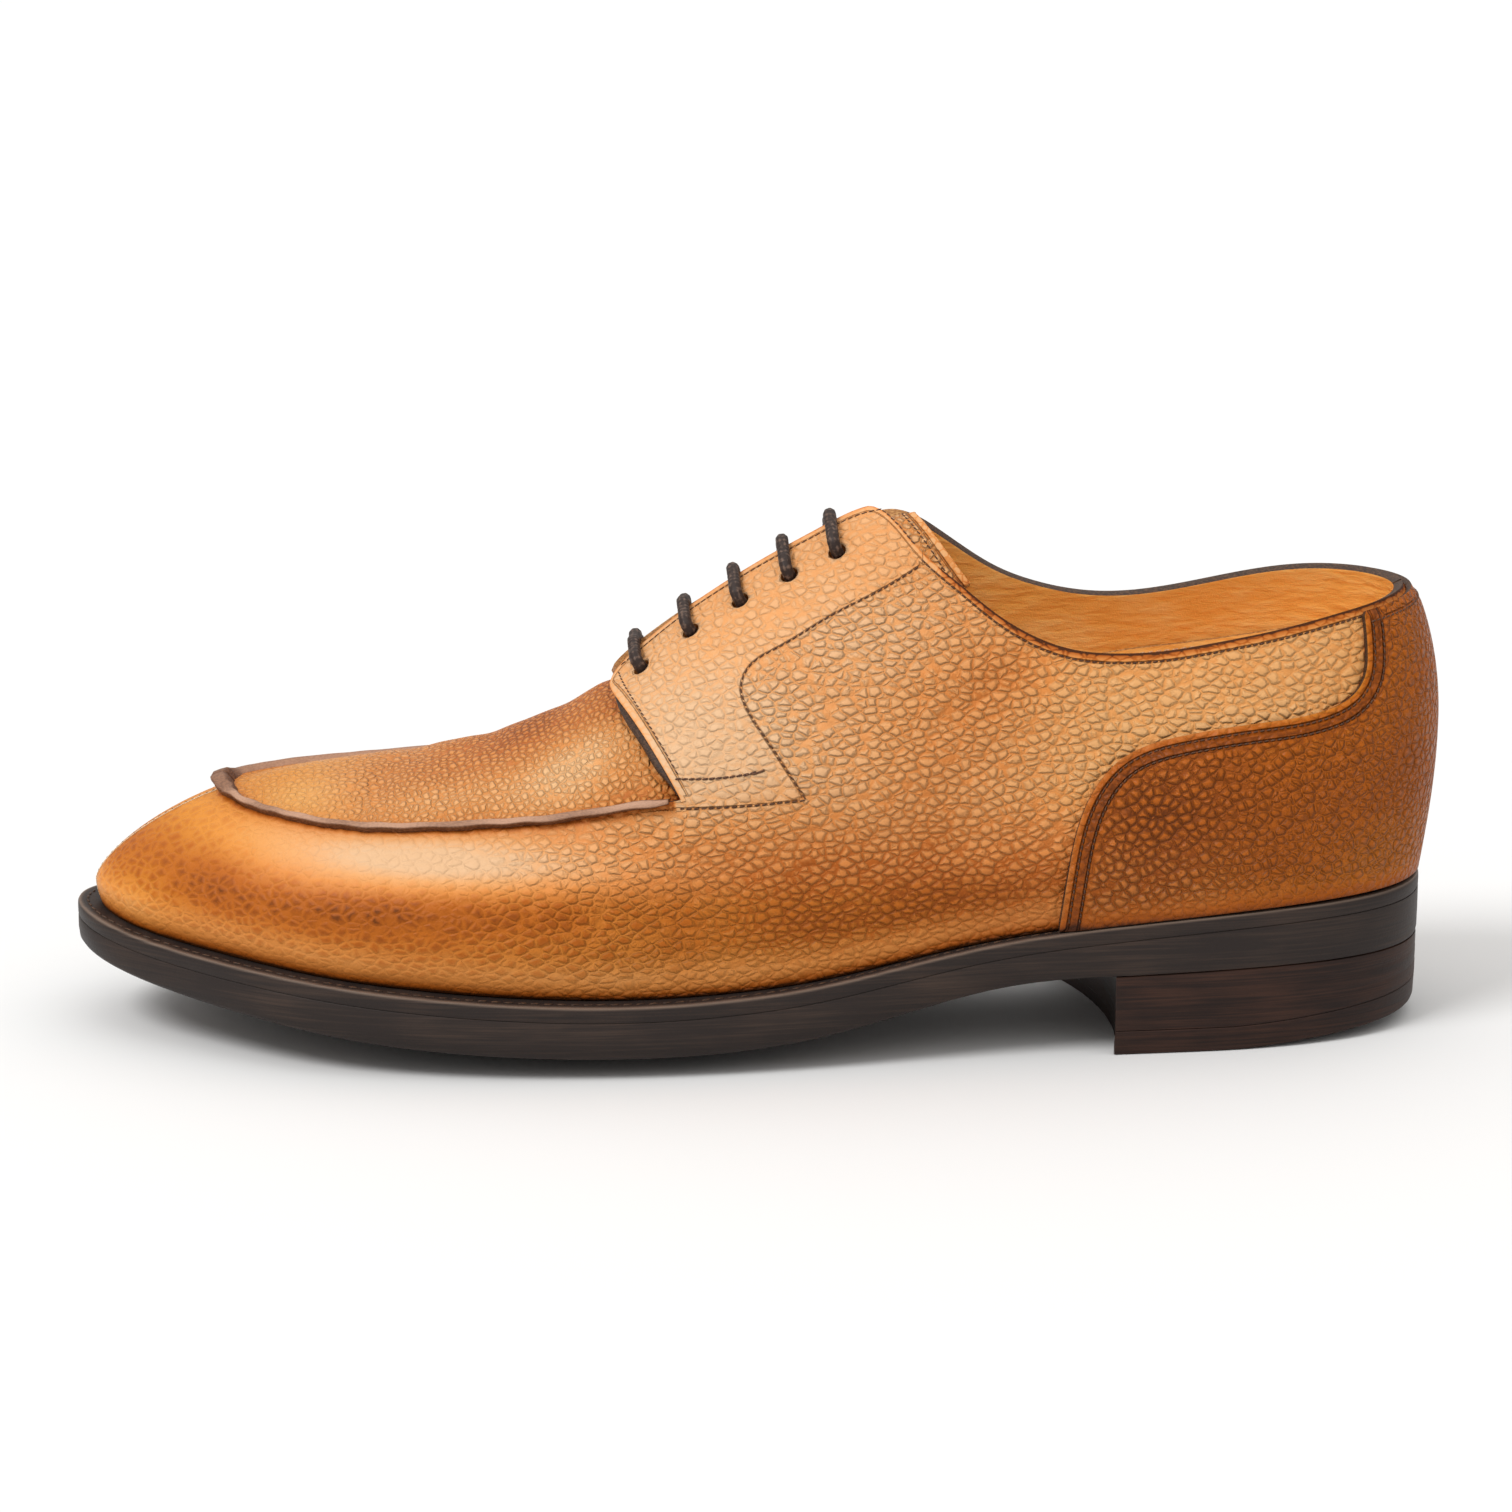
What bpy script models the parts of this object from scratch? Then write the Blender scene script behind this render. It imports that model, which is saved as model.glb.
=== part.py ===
import math

import bmesh
import bpy
import numpy as np

# Driving dimensions in millimetres. Stations run from the back of the sole to its toe,
# offsets are negative on the outer side of the foot, heights start at the floor.
LENGTH = 308.0
BALL_WIDTH = 103.8
INSTEP_HEIGHT = 117.4
HEEL_HEIGHT = 18.2
HEEL_OVERHANG = 4.4
WALL = 2.2
TAB_LIFT = 3.4
OVERLAY = 1.4
WELT_THICK = 3.6
INSOLE_THICK = 2.4
TOP_PIECE_THICK = 5.6
LACE_RADIUS = 1.5
EYELET_RADIUS = 2.3
EYELETS = (176.0, 165.3, 154.6, 144.0, 133.5)
EYELET_INSET = 9.0
GAP = 0.3
MM = 0.001

LONG = LENGTH / 308.0
WIDE = BALL_WIDTH / 103.8
HIGH = INSTEP_HEIGHT / 117.4
LIFT = HEEL_HEIGHT / 18.2
CENTRE = (LENGTH - HEEL_OVERHANG) / 2
MIDDLE = 0.85 * WIDE

# Sole seen from above: station, offset. From the heel along the outer side to the toe and back.
OUTLINE = (
    (-1.2, 0), (5, -17.5), (28, -31), (72, -37), (120, -43), (163, -49.5), (195, -51.3), (230, -48.5),
    (260, -39.5), (287, -21.5), (302.5, -8), (308, 5), (301.5, 25), (280, 41), (250, 51), (217, 52.5),
    (182, 44.5), (147, 32.5), (110, 27), (72, 29), (28, 31), (5, 18.2),
)
TOE_POINT = 11

# Sole bottom: station, height on the centre line, height at the edge, edge thickness, margin to the upper
SOLE_TABLE = (
    (0, 19.6, 19.8, 14.2, 2.5), (40, 18.9, 19.2, 13.2, 2.5), (74, 17.5, 18.3, 11.6, 2.8),
    (99, 14.6, 16.6, 10.7, 3.2), (119, 9.8, 12.3, 11.4, 3.8), (140, 4.3, 7.6, 12.2, 4.4),
    (162, 0.7, 5.2, 12.5, 5.0), (180, -0.2, 4.7, 12.4, 5.2), (204, -0.2, 5.2, 12.4, 5.4),
    (225, 1.2, 6.4, 12.4, 5.5), (246, 4.0, 8.5, 12.0, 5.5), (267, 8.0, 11.2, 11.2, 5.5),
    (289, 12.8, 14.0, 10.3, 5.5), (308, 18.4, 18.5, 9.6, 5.5),
)

# Half sections of the foot form: station, height of the widest point above the welt, bulge, roundness
SECTION_TABLE = (
    (0, 36, 3.4, 2.05), (28, 27, 3.6, 1.8), (60, 20, 3.6, 1.55), (92, 17, 3.2, 1.62), (112, 16.5, 3.0, 1.78),
    (135, 16, 3.0, 1.8), (170, 16, 3.6, 1.8), (200, 14, 4.4, 1.9), (240, 12, 4.0, 2.0), (275, 9, 2.6, 1.8),
    (303, 5, 1.0, 1.5),
)

# Ridge on top of the form: station of the foot edge, station of the ridge point that belongs to it
SPINE_TABLE = (
    (0, 38), (20, 45), (60, 68), (100, 101), (150, 150), (200, 200), (235, 229), (265, 246), (290, 254),
    (308, 257),
)
SPINE_OFFSET = ((30, -1), (100, 0), (150, 2), (200, 6), (240, 9), (262, 9.5))
RIDGE_TABLE = (
    (38, 125), (70, 125), (95, 124), (108, 122), (118, 120), (128, 117.4), (137, 112.8), (147, 107.2),
    (158, 100.3), (169, 92.3), (180, 82.8), (186, 78), (197, 71.4), (206, 67), (220, 62.3), (235, 59.2),
    (247, 57.8), (257, 57),
)

# Collar height by station of the foot edge, outer side and inner side
COLLAR_TABLE = {
    -1: ((0, 101.3), (20, 97.8), (33, 94.6), (50, 91.0), (61, 89.0), (72, 88.4), (81, 89.4), (89, 92.2),
         (101, 99.4), (108, 104.8), (116, 111), (124, 119), (134, 131)),
    1: ((0, 101.3), (20, 100.6), (40, 97.6), (59, 95), (71, 95), (84, 97.4), (97, 102.6), (108, 109.6),
        (116, 115), (124, 122), (134, 133)),
}
# Apron seam: station of the foot edge, height
SEAM_TABLE = (
    (168, 61), (197, 56), (219, 53.4), (245, 51.8), (265, 52), (280, 52.3), (290, 52.8), (303, 53.3),
)
TAB_CORNER = 170.0
TAB_SLANT = 13.0
FACING_EDGE = ((110, 5), (140, 5.2), (190, 6.5))
BELT_HEIGHT = 60.9
TONGUE_TOP = 108.5
TONGUE_EDGE = ((108.5, 12), (111, 19), (117, 23), (130, 26), (150, 31), (160, 36), (167, 42))
TONGUE_DROP = 2.6
# Counter edge: station of the foot edge, height
COUNTER_EDGE = (
    (15, 97), (16.5, 90), (18, 85), (21, 81), (27, 78), (42, 75.6), (58, 73.2), (73, 68), (80, 60), (84, 48),
    (86, 31),
)
BREAST_OUTER = 73.0
BREAST_INNER = 80.0
BREAST_HOLLOW = 5.0
HEEL_REAR_RISE = 4.0


def spline(table, column=1):
    # natural cubic through the rows of a table, held level past its ends
    rows = np.array([(row[0], row[column]) for row in table], float)
    at, value = rows[:, 0], rows[:, 1]
    step = np.diff(at)
    count = len(at)
    matrix, right = np.eye(count), np.zeros(count)
    for i in range(1, count - 1):
        matrix[i, i - 1:i + 2] = step[i - 1], 2 * (step[i - 1] + step[i]), step[i]
        right[i] = 6 * ((value[i + 1] - value[i]) / step[i] - (value[i] - value[i - 1]) / step[i - 1])
    bend = np.linalg.solve(matrix, right)

    def value_at(x):
        x = np.clip(np.asarray(x, float), at[0], at[-1])
        i = np.clip(np.searchsorted(at, x) - 1, 0, count - 2)
        before, after, size = at[i + 1] - x, x - at[i], step[i]
        curve = (bend[i] * before ** 3 + bend[i + 1] * after ** 3) / (6 * size)
        return (curve + (value[i] / size - bend[i] * size / 6) * before
                + (value[i + 1] / size - bend[i + 1] * size / 6) * after)

    return value_at


def stations(table, column=1, grow=1.0):
    # the same, with its stations stretched to the length and its values by grow
    return spline([(row[0] * LONG, row[column] * grow) for row in table])


def closed_spline(points):
    ring = np.array(points, float) * (LONG, WIDE)
    three = np.vstack([ring, ring, ring])
    run = np.r_[0, np.cumsum(np.linalg.norm(np.diff(three, axis=0), axis=1))]
    along, across = spline(np.c_[run, three[:, 0]]), spline(np.c_[run, three[:, 1]])
    count = len(ring)
    first, last_run = run[count], run[2 * count]

    def point_at(s):
        k = first + (np.asarray(s, float) % 1.0) * (last_run - first)
        return np.stack([along(k), across(k)], -1)

    return point_at, (run[count:2 * count] - first) / (last_run - first)


def smooth(value):
    value = np.clip(value, 0, 1)
    return value * value * (3 - 2 * value)


outline, marks = closed_spline(OUTLINE)
TOE = marks[TOE_POINT]
centre_height = stations(SOLE_TABLE, 1, LIFT)
edge_height = stations(SOLE_TABLE, 2, LIFT)
edge_thick = stations(SOLE_TABLE, 3)
margin = stations(SOLE_TABLE, 4)
widest = stations(SECTION_TABLE, 1, HIGH)
bulge = stations(SECTION_TABLE, 2, WIDE)
roundness = stations(SECTION_TABLE, 3)
spine = stations(SPINE_TABLE, 1, LONG)
spine_offset = stations(SPINE_OFFSET, 1, WIDE)
ridge = stations(RIDGE_TABLE, 1, HIGH)
collar = {side: stations(table, 1, HIGH) for side, table in COLLAR_TABLE.items()}
seam_height = stations(SEAM_TABLE, 1, HIGH)
facing_distance = stations(FACING_EDGE, 1, WIDE)
tongue_distance = stations(TONGUE_EDGE, 1, WIDE)
counter_height = stations(COUNTER_EDGE, 1, HIGH)


def inset(s, amount):
    # a point of the outline moved inwards
    s = np.asarray(s, float)
    along = outline(s + 1e-4) - outline(s - 1e-4)
    along /= np.linalg.norm(along, axis=-1, keepdims=True)
    inward = np.stack([along[..., 1], -along[..., 0]], -1)
    return outline(s) - inward * np.asarray(amount)[..., None] * TURN


TURN = 1.0
middle = np.array([LENGTH / 2, 0.0])
quarter = float(TOE / 2)
if np.linalg.norm(inset(quarter, 5.0) - middle) > np.linalg.norm(outline(quarter) - middle):
    TURN = -1.0


def foot_edge(s):
    return inset(s, margin(outline(s)[..., 0]))


fine = np.linspace(0, 1, 4001)
fine_edge = foot_edge(fine)[:, 0]
SIDE_RUN = {-1: fine <= TOE, 1: fine >= TOE}


def place(side, station):
    # where the foot edge of this side reaches a station
    run, at = fine[SIDE_RUN[side]], fine_edge[SIDE_RUN[side]]
    order = np.argsort(at)
    return np.interp(station, at[order], run[order])


def side_of(s):
    return np.where(np.asarray(s) % 1.0 <= TOE, -1, 1)


def by_side(functions, s, station):
    return np.where(side_of(s) < 0, functions[-1](station), functions[1](station))


def half_section(s):
    edge = foot_edge(s)
    at = spine(edge[..., 0])
    top = np.stack([at, spine_offset(at)], -1)
    width = np.linalg.norm(edge - top, axis=-1)
    low = edge_height(edge[..., 0]) + edge_thick(edge[..., 0]) + GAP
    away = (edge - top) / width[..., None]
    return edge[..., 0], top, away, width, low, low + widest(edge[..., 0]), ridge(at)


def form(s, tau):
    # the foot form: tau -1 at the foot edge, 0 at the widest height, 1 on the ridge
    s, tau = np.broadcast_arrays(np.asarray(s, float), np.asarray(tau, float))
    station, top, away, width, low, wide_at, high = half_section(s)
    puff, power = bulge(station), roundness(station)
    upper, lower = np.clip(tau, 0, 1) * np.pi / 2, (1 + np.clip(tau, -1, 0)) * np.pi / 2
    reach = np.where(tau >= 0, (width + puff) * np.cos(upper) ** (2 / power), width + puff * np.sin(lower))
    rise = np.where(tau >= 0, wide_at + (high - wide_at) * np.sin(upper) ** (2 / power),
                    wide_at + (wide_at - low) * np.clip(tau, -1, 0))
    flat = top + away * reach[..., None]
    return np.stack([CENTRE - flat[..., 0], flat[..., 1] - MIDDLE, rise], -1)


def tau_by_distance(s, distance):
    station, top, away, width, low, wide_at, high = half_section(s)
    share = np.clip(distance / (width + bulge(station)), 0, 1)
    return np.arccos(share ** (roundness(station) / 2)) / (np.pi / 2)


def tau_by_height(s, height):
    station, top, away, width, low, wide_at, high = half_section(s)
    share = np.clip((height - wide_at) / (high - wide_at), 0, 0.999)
    return np.arcsin(share ** (roundness(station) / 2)) / (np.pi / 2)


def outward(s, tau):
    s, tau = np.broadcast_arrays(np.asarray(s, float), np.asarray(tau, float))
    tau = np.clip(tau, -0.98, 0.985)
    along = form(s + 5e-4, tau) - form(s - 5e-4, tau)
    up = form(s, tau + 0.01) - form(s, tau - 0.01)
    normal = np.cross(along, up)
    normal /= np.linalg.norm(normal, axis=-1, keepdims=True)
    away = half_section(s)[2]
    facing = -normal[..., 0] * away[..., 0] + normal[..., 1] * away[..., 1] + 0.5 * normal[..., 2]
    return normal * np.where(facing < 0, -1, 1)[..., None]


def over_form(s, tau, height):
    return form(s, tau) + outward(s, tau) * np.asarray(height)[..., None]


def seam_tau(s, inside=0.0):
    # the apron seam, or a line that far inside it
    tau = tau_by_height(s, seam_height(foot_edge(s)[..., 0]))
    rate = np.linalg.norm(form(s, tau + 0.01) - form(s, tau - 0.01), axis=-1) / 0.02
    return tau + inside / rate


def belt_tau(s):
    # the apron seam in front of the lace tabs, a level line behind them
    station = foot_edge(s)[..., 0]
    front = seam_tau(s)
    rear = tau_by_height(s, BELT_HEIGHT * HIGH)
    return np.where(station >= TAB_CORNER * LONG, front, rear)


def top_tau(s):
    # the lower of the facing edge and the collar, blended
    station = foot_edge(s)[..., 0]
    facing = tau_by_distance(s, facing_distance(station))
    facing_z = form(s, facing)[..., 2]
    collar_z = by_side(collar, s, station)
    lower = np.minimum(facing_z, collar_z)
    blend = np.clip(5.0 - np.abs(facing_z - collar_z), 0, None) ** 2 / 20.0
    return np.where(collar_z - facing_z > 5.0, facing, tau_by_height(s, lower - blend))


def tab_lift(s, tau):
    # how far the upper's outer face stands off the form round the lace tabs
    station = CENTRE - form(s, tau)[..., 0]
    height = form(s, tau)[..., 2]
    rear = smooth((station / LONG - 92) / 38)
    front = 1 - smooth((station / LONG - 176) / 26)
    rise = smooth((height - BELT_HEIGHT + 18) / 27)
    return TAB_LIFT * rear * np.where(height < BELT_HEIGHT + 4, front, 1.0) * rise


MATERIALS = {
    # name: colour, roughness
    "tan_leather": ((0.48, 0.21, 0.06, 1), 0.45),
    "dark_leather": ((0.30, 0.12, 0.035, 1), 0.45),
    "sole_leather": ((0.035, 0.022, 0.016, 1), 0.5),
    "rubber": ((0.02, 0.018, 0.016, 1), 0.7),
    "lining_leather": ((0.55, 0.30, 0.11, 1), 0.6),
    "lace_cotton": ((0.05, 0.03, 0.02, 1), 0.6),
}


def collection(name):
    found = bpy.data.collections.new(name)
    bpy.context.scene.collection.children.link(found)
    return found


def material(name):
    colour, rough = MATERIALS[name]
    made = bpy.data.materials.new(name)
    made.use_nodes = True
    shader = made.node_tree.nodes["Principled BSDF"]
    shader.inputs["Base Color"].default_value = colour
    shader.inputs["Roughness"].default_value = rough
    made.diffuse_color = colour
    return made


for old in list(bpy.data.objects):
    bpy.data.objects.remove(old)
shoe = collection("derby_shoe")
cutters = collection("cutters")
cutters.hide_render = True
slots = {name: material(name) for name in MATERIALS}


def add(name, points, faces, slot):
    mesh = bpy.data.meshes.new(name)
    mesh.from_pydata((np.asarray(points) * MM).tolist(), [], [list(map(int, face)) for face in faces])
    made = bpy.data.objects.new(name, mesh)
    shoe.objects.link(made)
    mesh.materials.append(slots[slot])
    shape = bmesh.new()
    shape.from_mesh(mesh)
    bmesh.ops.remove_doubles(shape, verts=shape.verts, dist=1e-6)
    bmesh.ops.recalc_face_normals(shape, faces=shape.faces)
    shape.to_mesh(mesh)
    shape.free()
    return made


def face_out(made, point, direction):
    # turns an open sheet over where the face nearest a point looks the wrong way
    mesh = made.data
    point, direction = np.asarray(point) * MM, np.asarray(direction)
    nearest = min(mesh.polygons, key=lambda face: np.linalg.norm(np.array(face.center) - point))
    if np.dot(nearest.normal, direction) < 0:
        mesh.flip_normals()


def thicken(made, thick):
    shell = made.modifiers.new("wall", "SOLIDIFY")
    shell.thickness = thick * MM
    shell.offset = -1
    shell.use_even_offset = True
    shell.use_quality_normals = True
    return shell


def grid_faces(rows, columns, start=0, ring=False):
    faces = []
    for i in range(rows - 1):
        for j in range(columns if ring else columns - 1):
            a, b = start + i * columns + j, start + i * columns + (j + 1) % columns
            faces.append((a, b, b + columns, a + columns))
    return faces


# Upper
UPPER = {"rear": 22, "front": 17, "low_rows": 7, "tab_rows": 9}


def upper_columns():
    corner = {side: float(place(side, TAB_CORNER * LONG)) for side in (-1, 1)}
    rear = np.linspace(0, 1, UPPER["rear"])
    front = np.linspace(0, 1, UPPER["front"])
    back = list(corner[-1] * (1 - rear)) + list(1 - (1 - corner[1]) * rear[1:])
    round_toe = list(corner[1] + (TOE - corner[1]) * front[1:])
    round_toe += list(TOE + (corner[-1] - TOE) * front[1:-1])
    return np.array(back), np.array(round_toe)


def upper_sheet():
    back, toe = upper_columns()
    ring = np.r_[back, toe]
    belt = belt_tau(ring)
    belt[:1], belt[len(back) - 1] = belt_tau(ring[:1] - 1e-6), belt_tau(ring[len(back) - 1] + 1e-6)
    points, faces = [], []
    for share in np.linspace(0, 1, UPPER["low_rows"]):
        tau = -1 + share * (1 + belt)
        points.append(over_form(ring, tau, tab_lift(ring, tau)))
    columns = len(ring)
    faces += grid_faces(UPPER["low_rows"], columns, ring=True)
    belt_row = (UPPER["low_rows"] - 1) * columns
    rows = [np.arange(belt_row, belt_row + len(back))]
    station = foot_edge(back)[:, 0] / LONG
    slant = TAB_SLANT * smooth((station - 118) / (TAB_CORNER - 118))
    side = side_of(back)
    count = UPPER["low_rows"] * columns
    for share in np.linspace(0, 1, UPPER["tab_rows"])[1:]:
        lean = slant * (1 - (1 - share) ** 1.9)
        moved = np.array([float(place(k, (a + b) * LONG)) if b > 0 else s
                          for k, a, b, s in zip(side, station, lean, back)])
        low = tau_by_height(moved, BELT_HEIGHT * HIGH)
        tau = low + share * (top_tau(moved) - low)
        points.append(over_form(moved, tau, tab_lift(moved, tau)))
        rows.append(np.arange(count, count + len(back)))
        count += len(back)
    for below, above in zip(rows, rows[1:]):
        for j in range(len(back) - 1):
            faces.append((below[j], below[j + 1], above[j + 1], above[j]))
    return np.vstack(points), faces


upper = add("upper", *upper_sheet(), "tan_leather")
face_out(upper, form(quarter, 0.0), (0, -1, 0))
thicken(upper, WALL)


# Eyelet holes through the lace tabs
def eyelet(side, station):
    s = place(side, station * LONG)
    tau = tau_by_distance(s, facing_distance(station * LONG) + EYELET_INSET)
    return s, tau


def eyelet_cutter():
    shape = bmesh.new()
    for side in (-1, 1):
        for station in EYELETS:
            s, tau = eyelet(side, station)
            normal = outward(s, tau)
            middle_point = form(s, tau) + normal * 2.3
            across = np.cross(normal, (0, 0, 1))
            across /= np.linalg.norm(across)
            second = np.cross(normal, across)
            rings = []
            for depth in (-3.2, 3.2):
                turn = [2 * math.pi * k / 10 for k in range(10)]
                spokes = [EYELET_RADIUS * (math.cos(t) * across + math.sin(t) * second) for t in turn]
                centre = middle_point + normal * depth
                rings.append([shape.verts.new((centre + spoke) * MM) for spoke in spokes])
            for k in range(10):
                shape.faces.new((rings[0][k], rings[0][(k + 1) % 10], rings[1][(k + 1) % 10], rings[1][k]))
            shape.faces.new(rings[0])
            shape.faces.new(rings[1])
    bmesh.ops.recalc_face_normals(shape, faces=shape.faces)
    mesh = bpy.data.meshes.new("eyelet_cutter")
    shape.to_mesh(mesh)
    shape.free()
    made = bpy.data.objects.new("eyelet_cutter", mesh)
    cutters.objects.link(made)
    made.hide_render = True
    made.display_type = "WIRE"
    return made


holes = upper.modifiers.new("eyelets", "BOOLEAN")
holes.operation = "DIFFERENCE"
holes.solver = "EXACT"
holes.object = eyelet_cutter()

# Apron and tongue
APRON = {"rows": 25, "half": 6, "gap": 1.1}


def apron_drop(station, share_out):
    # the tongue lies below the lace tabs, the apron in front of them on the form
    edge_line = 188.5 - 13 * share_out ** 2.2
    return -0.1 - TONGUE_DROP * smooth((edge_line - station) / 9)


def edge_distance(s, tau):
    # how far a point of the form lies from the ridge, and how far the whole half section reaches
    station, width = half_section(s)[0], half_section(s)[3]
    reach = float(width + bulge(station))
    return reach * float(np.cos(tau * np.pi / 2) ** (2 / roundness(station))), reach


def apron_sheet():
    half = APRON["half"]
    steps = np.linspace(0, 1, APRON["rows"])
    first, last_station = TONGUE_TOP * LONG, fine_edge.max() - 0.02
    run = first + (last_station - first) * (1 - (1 - steps) ** 1.35)
    points = []
    for station in run:
        sides = []
        for side in (-1, 1):
            s = place(side, station)
            at = float(station) / LONG
            line = np.full(half + 1, s)
            if at < TAB_CORNER - 3:
                belt = tau_by_height(s, (BELT_HEIGHT + 2) * HIGH)
                first_tau = max(tau_by_distance(s, tongue_distance(station)), belt)
            else:
                first_tau = seam_tau(s, APRON["gap"])
            edge, reach = edge_distance(s, first_tau)
            share = np.linspace(1, 0, half + 1)
            tau = tau_by_distance(line, edge * share)
            drop = apron_drop(CENTRE - form(line, tau)[..., 0], share * min(1.0, edge / (0.8 * reach)))
            sides.append(over_form(line, tau, drop))
        ridge_point = (sides[0][-1] + sides[1][-1]) / 2
        points.append(np.vstack([sides[0][:-1], ridge_point, sides[1][:-1][::-1]]))
    across = 2 * half + 1
    faces = grid_faces(len(run) - 1, across)
    line = np.full(half + 1, TOE)
    tip_edge = edge_distance(TOE, seam_tau(TOE, APRON["gap"]))[0]
    tip_tau = tau_by_distance(line, tip_edge * np.linspace(1, 0, half + 1))
    tip = over_form(line, tip_tau, np.full(half + 1, -0.1))
    before, start = (len(run) - 2) * across, (len(run) - 1) * across
    for j in range(half):
        faces.append((before + j, before + j + 1, start + j + 1, start + j))
    for j in range(half, 2 * half):
        faces.append((before + j, before + j + 1, start + 2 * half - j - 1, start + 2 * half - j))
    return np.vstack(points[:-1] + [tip]), faces


apron = add("apron_tongue", *apron_sheet(), "tan_leather")
face_out(apron, form(place(-1, 230 * LONG), 0.99), (0, 0, 1))
thicken(apron, 1.9)


# Tubes along a path
def tube(name, path, radii, slot, sides):
    # a straight-run curve with filled ends, bevelled to a tube
    curve = bpy.data.curves.new(name, "CURVE")
    curve.dimensions = "3D"
    curve.bevel_depth = MM
    curve.bevel_resolution = max(0, sides // 2 - 2)
    curve.use_fill_caps = True
    line = curve.splines.new("POLY")
    line.points.add(len(path) - 1)
    for point, at, radius in zip(line.points, path, radii):
        point.co = (*(np.asarray(at) * MM), 1)
        point.radius = radius
    made = bpy.data.objects.new(name, curve)
    shoe.objects.link(made)
    curve.materials.append(slots[slot])
    return made


def seam_path():
    ring = np.linspace(0.002, 0.998, 50)
    corner = {side: float(place(side, (TAB_CORNER + 2.5) * LONG)) for side in (-1, 1)}
    run = corner[-1] + (corner[1] - corner[-1]) * ring
    station = foot_edge(run)[:, 0]
    tau = seam_tau(run, 0.3)
    thick = 1.05 + 0.75 * smooth((station / LONG - 285) / 16)
    return over_form(run, tau, tab_lift(run, tau) + thick + GAP), thick


tube("apron_seam", *seam_path(), "dark_leather", 6)


# Counter over the back of the upper
def counter_sheet():
    low_lift = 0.95 + OVERLAY
    stations_out = np.r_[0.999 * 86, 84.5, 82.5, 79, 74, 66, 56, 45, 35, 27, 21.5, 18.5, 17, 15.6] * LONG
    runs = [np.array([float(place(-1, a)) for a in stations_out])]
    inner = float(place(-1, 14 * LONG))
    outer = float(place(1, 14 * LONG))
    runs.append(np.linspace(inner, outer - 1, 9))
    runs.append(np.array([float(place(1, a)) - 1 for a in stations_out[::-1]]))
    run = np.concatenate(runs)
    station = foot_edge(run)[:, 0]
    crown = tau_by_height(run, np.minimum(counter_height(station), form(run, top_tau(run))[:, 2] - 1.2))
    flat = form(run, np.full(len(run), 0.0))[:, 2]
    asked = counter_height(station)
    base = half_section(run)[4]
    low_part = (asked - base) / (flat - base) - 1
    crown = np.where(asked < flat, np.clip(low_part, -0.9, 0), crown)
    points = []
    rows = 7
    for share in np.linspace(0, 1, rows):
        tau = -0.955 + share * (crown + 0.955)
        points.append(over_form(run, tau, np.full(len(run), low_lift)))
    return np.vstack(points), grid_faces(rows, len(run))


counter = add("heel_counter", *counter_sheet(), "dark_leather")
face_out(counter, form(0.0, 0.0), (1, 0, 0))
thicken(counter, OVERLAY)

# Sole pieces: a ladder of stations from heel to toe, each crossed from the outer side to the inner side
LADDER = {"steps": 28, "across": 6}
INSOLE_LADDER = {"steps": 22, "across": 4}


def ladder_points(amount, ladder, follow):
    # outline points of both sides, moved inwards by amount and, where asked, by the margin to the upper
    turn = np.linspace(0, np.pi, ladder["steps"] + 1)
    steps = (0.35 * (1 - np.cos(turn)) / 2 + 0.65 * turn / np.pi)
    outer_run, inner_run = TOE * steps, 1 - (1 - TOE) * steps
    outer = inset(outer_run, amount + follow * margin(outline(outer_run)[:, 0]))
    inner = inset(inner_run, amount + follow * margin(outline(inner_run)[:, 0]))
    share = np.linspace(0, 1, ladder["across"] + 1)
    return outer[:, None] * (1 - share)[None, :, None] + inner[:, None] * share[None, :, None], share


def sole_bottom(flat, share):
    # height of the sole's underside: level in the middle of each crossing, raised to its edge
    low, high = centre_height(flat[..., 0]), edge_height(flat[..., 0])
    out = np.clip((np.abs(2 * share - 1) - 0.36) / 0.64, 0, 1) ** 2
    return np.maximum(low + (high - low) * out, 0)


def plate(name, rims, slot, ladder=LADDER, follow=0.0):
    # rims: inset and a height for each level, from the underside to the top
    levels = []
    for amount, height in rims:
        flat, share = ladder_points(amount, ladder, follow)
        level = np.dstack([CENTRE - flat[..., 0], flat[..., 1] - MIDDLE, height(flat, share[None, :])])
        levels.append(level)
    steps, across = ladder["steps"] + 1, ladder["across"] + 1
    points = np.vstack([level.reshape(-1, 3) for level in levels])
    size = steps * across
    rim = [i * across for i in range(steps)]
    rim += [i * across + across - 1 for i in range(steps - 1, -1, -1)]
    faces = [face[::-1] for face in grid_faces(steps, across)]
    faces += grid_faces(steps, across, (len(levels) - 1) * size)
    for level in range(len(levels) - 1):
        for a, b in zip(rim, rim[1:] + rim[:1]):
            low, up = level * size, (level + 1) * size
            faces.append((low + a, low + b, up + b, up + a))
    return add_plate(name, points, faces, slot)


def add_plate(name, points, faces, slot):
    # the two ends of the ladder close to a point each
    made = add(name, points, faces, slot)
    shape = bmesh.new()
    shape.from_mesh(made.data)
    bmesh.ops.remove_doubles(shape, verts=shape.verts, dist=2e-5)
    bmesh.ops.dissolve_degenerate(shape, edges=shape.edges, dist=1e-6)
    loose = [vertex for vertex in shape.verts if not vertex.link_faces]
    bmesh.ops.delete(shape, geom=loose, context="VERTS")
    bmesh.ops.recalc_face_normals(shape, faces=shape.faces)
    shape.to_mesh(made.data)
    shape.free()
    return made


def sole_top(flat, share):
    return edge_height(flat[..., 0]) + edge_thick(flat[..., 0])


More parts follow.
